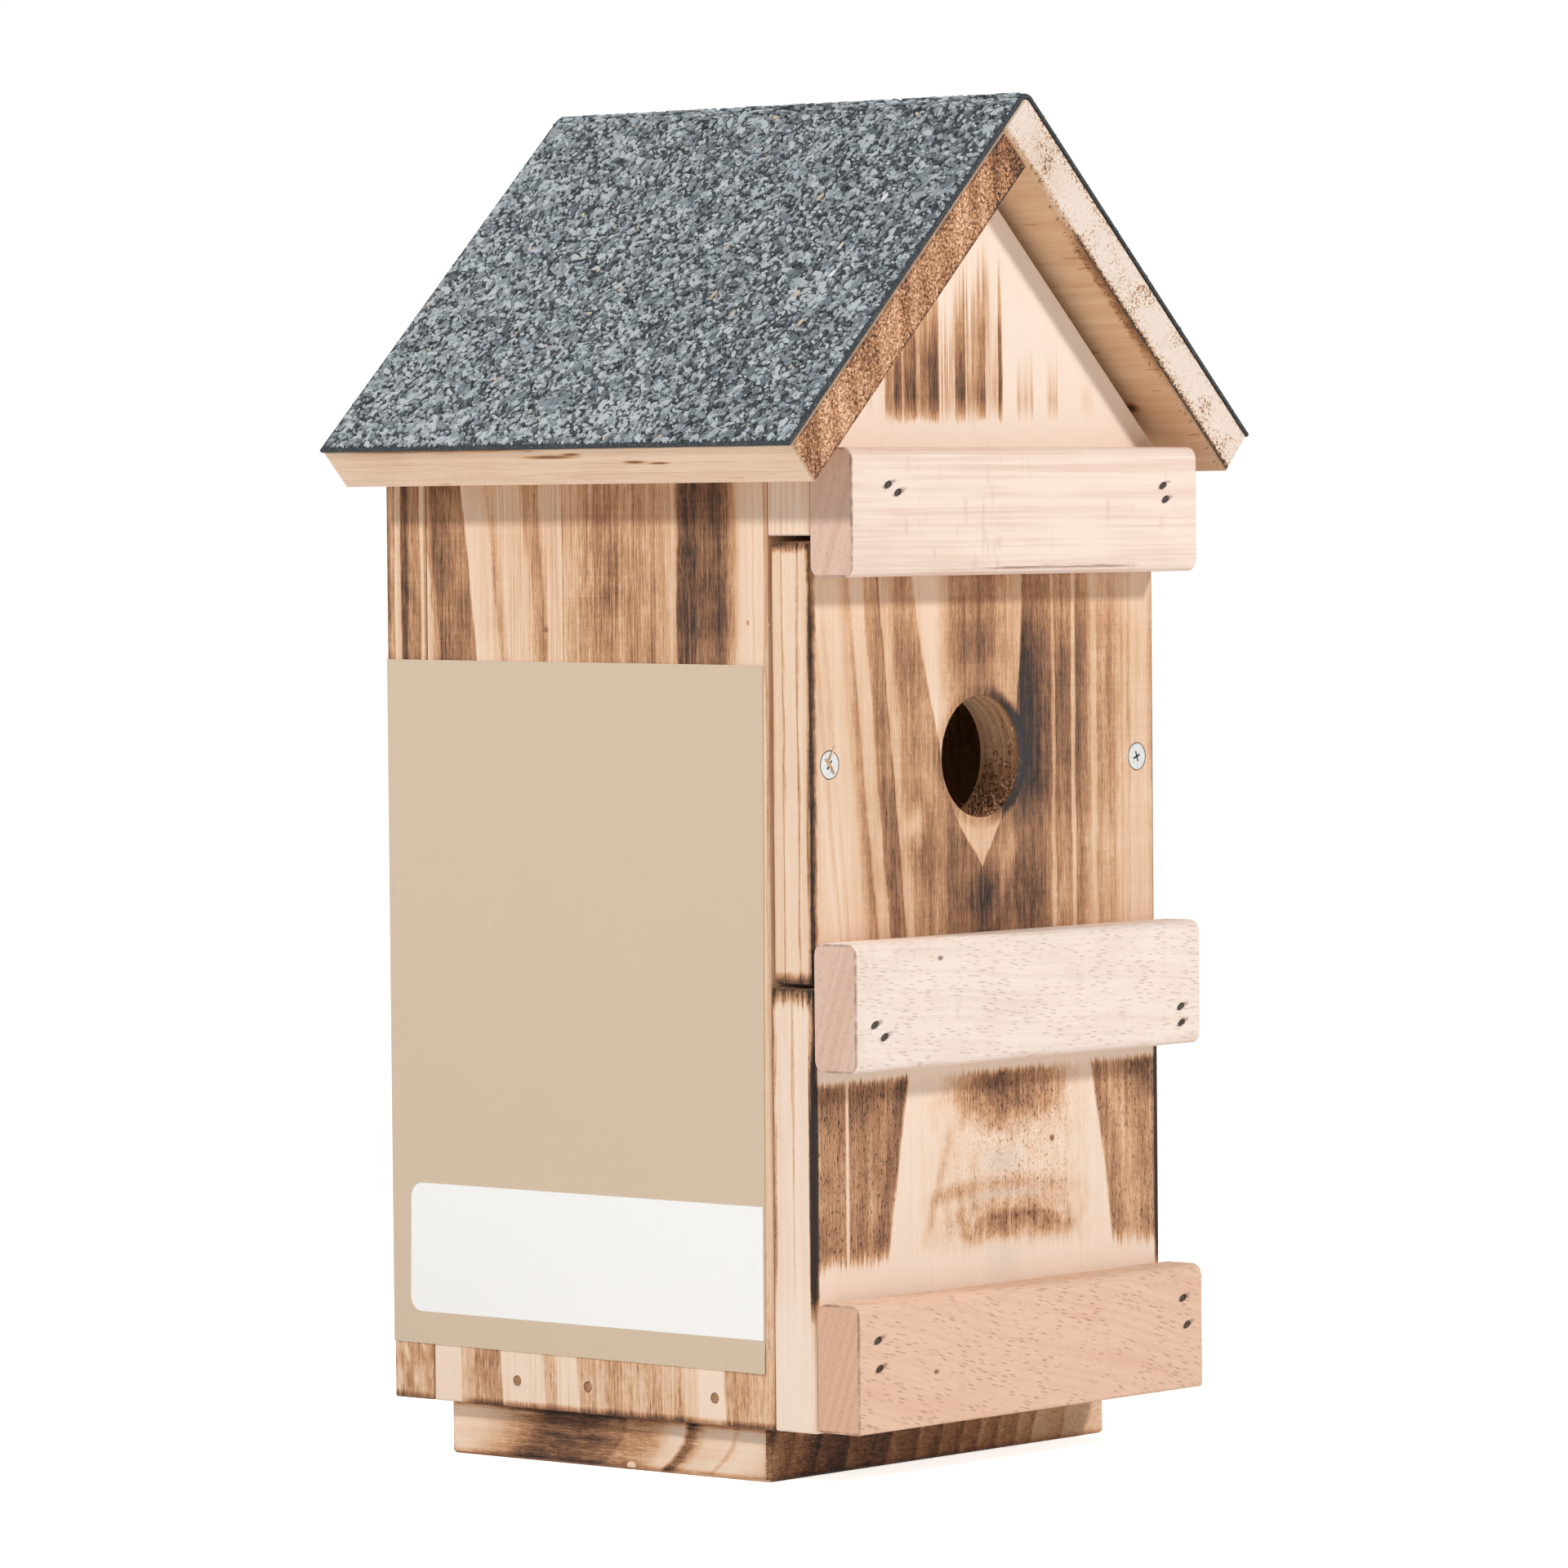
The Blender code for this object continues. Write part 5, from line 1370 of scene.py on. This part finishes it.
def hole_fibres(draw):
    """Torn fibres low in the hole's wall, at its top left rim, by the left screw and above."""
    rows = []
    for _ in range(560):
        turn = math.radians(draw.normal(-46, 26))
        rows.append(hole_fibre(
            draw, turn, 15.9, (0.9, 11.5), 0.5, (-0.5, 0.4), (0.8, 2.6), (0.18, 0.5), (0.1, 0.95)))
    for _ in range(46):
        turn = math.radians(draw.uniform(75, 178))
        rows.append(hole_fibre(
            draw, turn, 15.8, (0.5, 1.6), 0.6, (-0.1, 0.2), (0.5, 1.3), (0.1, 0.2), (0.3, 0.95)))
    for _ in range(7):
        place = (9.6 + draw.normal(0, 0.25), 0.3, 175.0 + draw.uniform(-0.3, 0.5))
        rows.append(torn_row(draw, place, (-0.62, -0.03, -1), (3.6, 4.6), (0.35, 0.6), (0.05, 0.3)))
        place = (6.4 + draw.normal(0, 0.25), 0.3, 171.9 + draw.uniform(-0.3, 0.3))
        rows.append(torn_row(draw, place, (0.85, -0.03, -1), (3.8, 5.4), (0.35, 0.6), (0.05, 0.35)))
    for _ in range(26):
        place = (draw.uniform(0.1, 1.3), draw.uniform(0.6, 12.6), 227.2)
        upwards = (draw.normal(0, 0.25), draw.normal(0, 0.3), 1)
        rows.append(torn_row(draw, place, upwards, (0.3, 0.8), (0.12, 0.22), (0.5, 0.95)))
    return rows


def roof_fuzz(draw, side, at, stand_off, backwards, depths, *limits):
    """A singed fibre under a roof board's front end, at a distance down its slope."""
    down, outwards = slope_directions(side)
    place = RIDGE + down * at + outwards * stand_off
    direction = -outwards + down * draw.normal(0, 0.8) + Vector((0, draw.uniform(*backwards), 0))
    start = (place.x, ROOF_FRONT + draw.uniform(*depths), place.z)
    return torn_row(draw, start, direction, *limits)


def board_fibres(draw):
    """Singed fuzz along the roof boards' front ends, a splinter, and torn wood at the nails."""
    rows = []
    for _ in range(240):
        at = draw.uniform(4, 112)
        clump = math.exp(-((at - 50) / 9) ** 2) + 0.5 * math.exp(-((at - 33) / 4) ** 2) + 0.16
        if draw.random() <= clump:
            rows.append(roof_fuzz(
                draw, 1, at, 0.15, (0, 0.8), (0.4, 2.0), (0.4, 1.5), (0.14, 0.34), (0.55, 1.0)))
    for _ in range(70):
        at = draw.uniform(8, 116)
        rows.append(roof_fuzz(
            draw, -1, at, 0.12, (0, 0.7), (0.4, 1.4), (0.3, 0.9), (0.12, 0.24), (0.5, 1.0)))
    rows.append(((0.2, 13.9, 206.2), (-0.25, 0.1, 1), 3.6, 0.3, 0.05))
    head = 1.25
    for number in NAILS_IN_RAIL:
        for rail in RAILS:
            nail = f"{rail}_nail_{number}"
            middle = middle_of(nail)
            front = (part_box(nail)[0].y - CORNER.y) / MM + 0.05
            for _ in range(4):
                turn = draw.uniform(0, 2 * math.pi)
                across, up = math.cos(turn), math.sin(turn)
                place = (middle.x + across * head, front, middle.z + up * head)
                direction = (across + 0.6, -0.25, up * 0.4)
                rows.append(torn_row(draw, place, direction, (0.4, 1.1), (0.1, 0.2), (0.1, 0.6)))
    return rows


class NESTBOX_OT_stage(bpy.types.Operator):
    """Lay the floor, set the lamps and the camera, and light the surroundings"""

    bl_idname = "nest_box.stage"
    bl_label = "Set the Stage"

    def execute(self, context):
        light = context.scene.nest_box_light
        context.scene.view_settings.view_transform = "Standard"
        self.lay_floor(context, light)
        self.light_surroundings(context, light)
        self.set_lamps(context, light)
        self.place_camera(context, light)
        return {"FINISHED"}

    def seen(self, tree):
        """1 for what the camera, a mirror or glass shows."""
        path = tree.nodes.new("ShaderNodeLightPath")
        shown = path.outputs["Is Camera Ray"]
        for ray in ("Is Glossy Ray", "Is Transmission Ray"):
            either = tree.nodes.new("ShaderNodeMath")
            either.operation = "MAXIMUM"
            tree.links.new(shown, either.inputs[0])
            tree.links.new(path.outputs[ray], either.inputs[1])
            shown = either.outputs[0]
        return shown

    def lay_floor(self, context, light):
        """A pale floor under the object, which the camera sees lifted to white."""
        deselect()
        bpy.ops.mesh.primitive_plane_add(size=7, location=(0, 0, CAD_BOX[0][2]))
        floor = context.object
        floor.name = "studio_floor"
        material = bpy.data.materials.new("studio_floor")
        material.use_nodes = True
        tree = material.node_tree
        shader = tree.nodes["Principled BSDF"]
        shader.inputs["Base Color"].default_value = (*context.scene.nest_box_colours.floor, 1)
        shader.inputs["Roughness"].default_value = 0.9
        shader.inputs["Specular IOR Level"].default_value = 0.0
        shader.inputs["Emission Color"].default_value = (1, 1, 1, 1)
        lift = tree.nodes.new("ShaderNodeMath")
        lift.operation = "MULTIPLY"
        tree.links.new(self.seen(tree), lift.inputs[0])
        lift.inputs[1].default_value = light.floor_lift
        tree.links.new(lift.outputs[0], shader.inputs["Emission Strength"])
        floor.data.materials.append(material)

    def light_surroundings(self, context, light):
        """A plain world: white for the camera, and a dimmer, warmer white for the object."""
        world = bpy.data.worlds.new("plain_white_surroundings")
        context.scene.world = world
        world.use_nodes = True
        tree = world.node_tree
        background = tree.nodes["Background"]
        seen = self.seen(tree)
        level = tree.nodes.new("ShaderNodeMapRange")
        tree.links.new(seen, level.inputs["Value"])
        level.inputs["To Min"].default_value = light.surround
        level.inputs["To Max"].default_value = 1.0
        tree.links.new(level.outputs["Result"], background.inputs["Strength"])
        warmth = tree.nodes.new("ShaderNodeMix")
        warmth.data_type = "RGBA"
        tree.links.new(seen, warmth.inputs["Factor"])
        warmth.inputs["A"].default_value = (1.0, 0.97, 0.93, 1)
        warmth.inputs["B"].default_value = (1, 1, 1, 1)
        tree.links.new(warmth.outputs["Result"], background.inputs["Color"])

    def set_lamps(self, context, light):
        """Two softboxes, high on the left and on the right of the front, aimed at the box."""
        aim = from_corner(71, 60, 170)
        for name, power, azimuth, elevation in (
            ("left_softbox", light.left_power, -100, 34),
            ("front_softbox", light.front_power, 20, 29),
        ):
            away = towards(math.radians(azimuth), math.radians(elevation))
            bpy.ops.object.light_add(
                type="AREA", location=aim + away * light.reach,
                rotation=away.to_track_quat("Z", "Y").to_euler())
            lamp = context.object
            lamp.name = name
            lamp.data.shape = "SQUARE"
            lamp.data.size = light.softbox
            lamp.data.energy = power

    def place_camera(self, context, light):
        """The camera as it was fitted to the photograph."""
        target = from_corner(96.275, 92.06, 161.48)
        back = towards(light.azimuth, light.elevation)
        right = Vector((math.cos(light.azimuth), math.sin(light.azimuth), 0))
        up = back.cross(right)
        right_rolled = right * math.cos(light.roll) + up * math.sin(light.roll)
        up_rolled = up * math.cos(light.roll) - right * math.sin(light.roll)
        bpy.ops.object.camera_add()
        camera = context.object
        camera.name = "camera"
        camera.data.lens = light.lens
        camera.data.sensor_width = 36
        camera.data.clip_start = 0.05
        turned_to_box = Matrix((right_rolled, up_rolled, back)).transposed().to_4x4()
        camera.matrix_world = Matrix.Translation(target + back * light.distance) @ turned_to_box
        context.scene.camera = camera


class NESTBOX_OT_flamed_boards(bpy.types.Operator):
    """Flame the walls, the front boards, the panel and the inner floor"""

    bl_idname = "nest_box.flamed_boards"
    bl_label = "Flame the Boards"

    def execute(self, context):
        dress(["front_panel"], front_panel_finish())
        dress(["front_gable_board"], gable_finish())
        dress(["lower_front_board"], lower_board_finish())
        dress(["side_wall_left"], left_wall_finish())
        dress(["side_wall_right"], chance_board_finish(
            "flamed_right_wall", "y", 35, 62, (128, 142, 14.3, 133.7, 0, 256)))
        dress(["back_wall"], chance_board_finish(
            "flamed_back_wall", "x", 32, 84, (0, 142, 134, 148.2, 0, 400),
            left_edge=back_wall_left_edge))
        dress(["floor_board"], floor_board_finish())
        return {"FINISHED"}


class NESTBOX_OT_base_board(bpy.types.Operator):
    """Flame the board that the box stands on"""

    bl_idname = "nest_box.base_board"
    bl_label = "Flame the Base Board"

    def execute(self, context):
        dress(["base_board"], base_board_finish())
        return {"FINISHED"}


class NESTBOX_OT_rails(bpy.types.Operator):
    """Plane the three beech rails"""

    bl_idname = "nest_box.rails"
    bl_label = "Finish the Rails"

    def execute(self, context):
        colours = context.scene.nest_box_colours
        for rail, base, seed, slant, *pattern in (
            ("rail_top", colours.beech, 111, 0, 0.4, 0.0, 1.5),
            ("rail_middle", colours.beech, 118, 4, 4, 0.38, 0.5),
            ("rail_bottom", colours.red_beech, 125, 14, 6, 0.6, 0.9),
        ):
            dress([rail], beech_finish(rail, base, seed, math.radians(slant), *pattern))
        return {"FINISHED"}


class NESTBOX_OT_roof_boards(bpy.types.Operator):
    """Finish the two roof boards with their scorched and pale ends"""

    bl_idname = "nest_box.roof_boards"
    bl_label = "Finish the Roof Boards"

    def execute(self, context):
        dress(["roof_board_left"], roof_board_finish(-1))
        dress(["roof_board_right"], roof_board_finish(1))
        return {"FINISHED"}


class NESTBOX_OT_felt(bpy.types.Operator):
    """Fold the felt over the ridge and strew it with slate chips"""

    bl_idname = "nest_box.felt"
    bl_label = "Lay the Felt"

    def execute(self, context):
        sizes = context.scene.nest_box_sizes
        colours = context.scene.nest_box_colours
        sheet = settle(
            make_felt_sheet(sizes), "felt_sheet", "nest_box", felt_finish())
        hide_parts("roofing_felt")
        slate = tone_finish("slate_chips", [
            (0.0, screen(42, 47, 51)), (0.2, colours.slate_dark), (0.5, screen(146, 154, 160)),
            (0.84, colours.slate_pale), (0.88, colours.slate_odd), (0.95, screen(214, 190, 170)),
            (1.0, (0.9, 0.88, 0.85)),
        ], 0.62, 141, specular=0.4)
        for piece in make_chips(sizes):
            settle(piece, piece.name, "nest_box", slate)
        return {"FINISHED"}


class NESTBOX_OT_fasteners(bpy.types.Operator):
    """Plate the screws and dull the nails"""

    bl_idname = "nest_box.fasteners"
    bl_label = "Finish the Fasteners"

    def execute(self, context):
        colours = context.scene.nest_box_colours
        stained = screen(150, 154, 158)
        for screw in ("panel_screw_left", "panel_screw_right"):
            dress([screw], metal_finish(
                f"zinc_plated_{screw}", colours.zinc, stained, 0.34, 151, 0.35, screw=screw))
        nails = [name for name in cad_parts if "nail" in name]
        dress(nails, metal_finish(
            "dull_nail_steel", colours.steel, screen(54, 44, 38), 0.5, 155, 0.8))
        dress([name for name in nails if name.startswith("floor_nail")], metal_finish(
            "rusty_nail_heads", screen(182, 132, 96), screen(134, 92, 64), 0.75, 157, 0.9,
            metallic=0.0))
        return {"FINISHED"}


class NESTBOX_OT_card(bpy.types.Operator):
    """Stick the plain card with its blank rounded panel to the left wall"""

    bl_idname = "nest_box.card"
    bl_label = "Add the Card"

    def execute(self, context):
        sizes = context.scene.nest_box_sizes
        colours = context.scene.nest_box_colours
        card = sheet_on_left_wall(
            ((147.9, 197.0), (15.75, 196.1), (17.0, 14.3), (147.9, 15.0)),
            0.00005, sizes.card_thickness, curl=0.0003)
        settle(card, "card", "nest_box", card_finish("tan_card", colours.card, 161))
        blank = sheet_on_left_wall(
            ((141.0, 57.8), (17.2, 57.3), (17.35, 22.9), (141.6, 23.5)),
            0.0004, sizes.blank_thickness, round_left=sizes.blank_round)
        white = card_finish("white_card", colours.blank, 163)
        settle(blank, "card_blank_panel", "nest_box", white)
        return {"FINISHED"}


class NESTBOX_OT_fibres(bpy.types.Operator):
    """Add torn and singed fibres at the hole, the roof boards' ends and the nails"""

    bl_idname = "nest_box.fibres"
    bl_label = "Add the Torn Fibres"

    def execute(self, context):
        sizes = context.scene.nest_box_sizes
        colours = context.scene.nest_box_colours
        wood = tone_finish("torn_fibres", [
            (0.0, colours.raw), (0.3, colours.toasted), (0.6, colours.brown),
            (0.85, colours.dark), (1.0, colours.char),
        ], 0.8, 171, specular=0.2)
        draw = np.random.default_rng(sizes.seed + 1)
        for name, rows, body in (
            ("panel_fibres", hole_fibres(draw), "front_panel"),
            ("board_fibres", board_fibres(draw), "nest_box"),
        ):
            settle(make_strands(name, rows), name, body, wood)
        return {"FINISHED"}


class NESTBOX_PT_steps(bpy.types.Panel):
    """The steps that dress the nest box, in order"""

    bl_label = "Nest Box"
    bl_idname = "NESTBOX_PT_steps"
    bl_space_type = "VIEW_3D"
    bl_region_type = "UI"
    bl_category = "Nest Box"

    def draw(self, context):
        for step in STEPS:
            self.layout.operator(step.bl_idname)
        scene = context.scene
        for title, group in (
            ("Colours", scene.nest_box_colours), ("Sizes", scene.nest_box_sizes),
            ("Light and camera", scene.nest_box_light),
        ):
            box = self.layout.box()
            box.label(text=title)
            for name in group.__annotations__:
                box.prop(group, name)


GROUPS = (NestBoxColours, NestBoxSizes, NestBoxLight)
STEPS = (
    NESTBOX_OT_stage, NESTBOX_OT_flamed_boards, NESTBOX_OT_base_board, NESTBOX_OT_rails,
    NESTBOX_OT_roof_boards, NESTBOX_OT_felt, NESTBOX_OT_fasteners, NESTBOX_OT_card,
    NESTBOX_OT_fibres,
)


def register():
    for group in (*GROUPS, *STEPS, NESTBOX_PT_steps):
        bpy.utils.register_class(group)
    bpy.types.Scene.nest_box_colours = PointerProperty(type=NestBoxColours)
    bpy.types.Scene.nest_box_sizes = PointerProperty(type=NestBoxSizes)
    bpy.types.Scene.nest_box_light = PointerProperty(type=NestBoxLight)


def unregister():
    del bpy.types.Scene.nest_box_colours
    del bpy.types.Scene.nest_box_sizes
    del bpy.types.Scene.nest_box_light
    for group in reversed((*GROUPS, *STEPS, NESTBOX_PT_steps)):
        bpy.utils.unregister_class(group)


def main():
    register()
    bpy.ops.nest_box.stage()
    bpy.ops.nest_box.flamed_boards()
    bpy.ops.nest_box.base_board()
    bpy.ops.nest_box.rails()
    bpy.ops.nest_box.roof_boards()
    bpy.ops.nest_box.felt()
    bpy.ops.nest_box.fasteners()
    bpy.ops.nest_box.card()
    bpy.ops.nest_box.fibres()


if __name__ == "__main__":
    main()
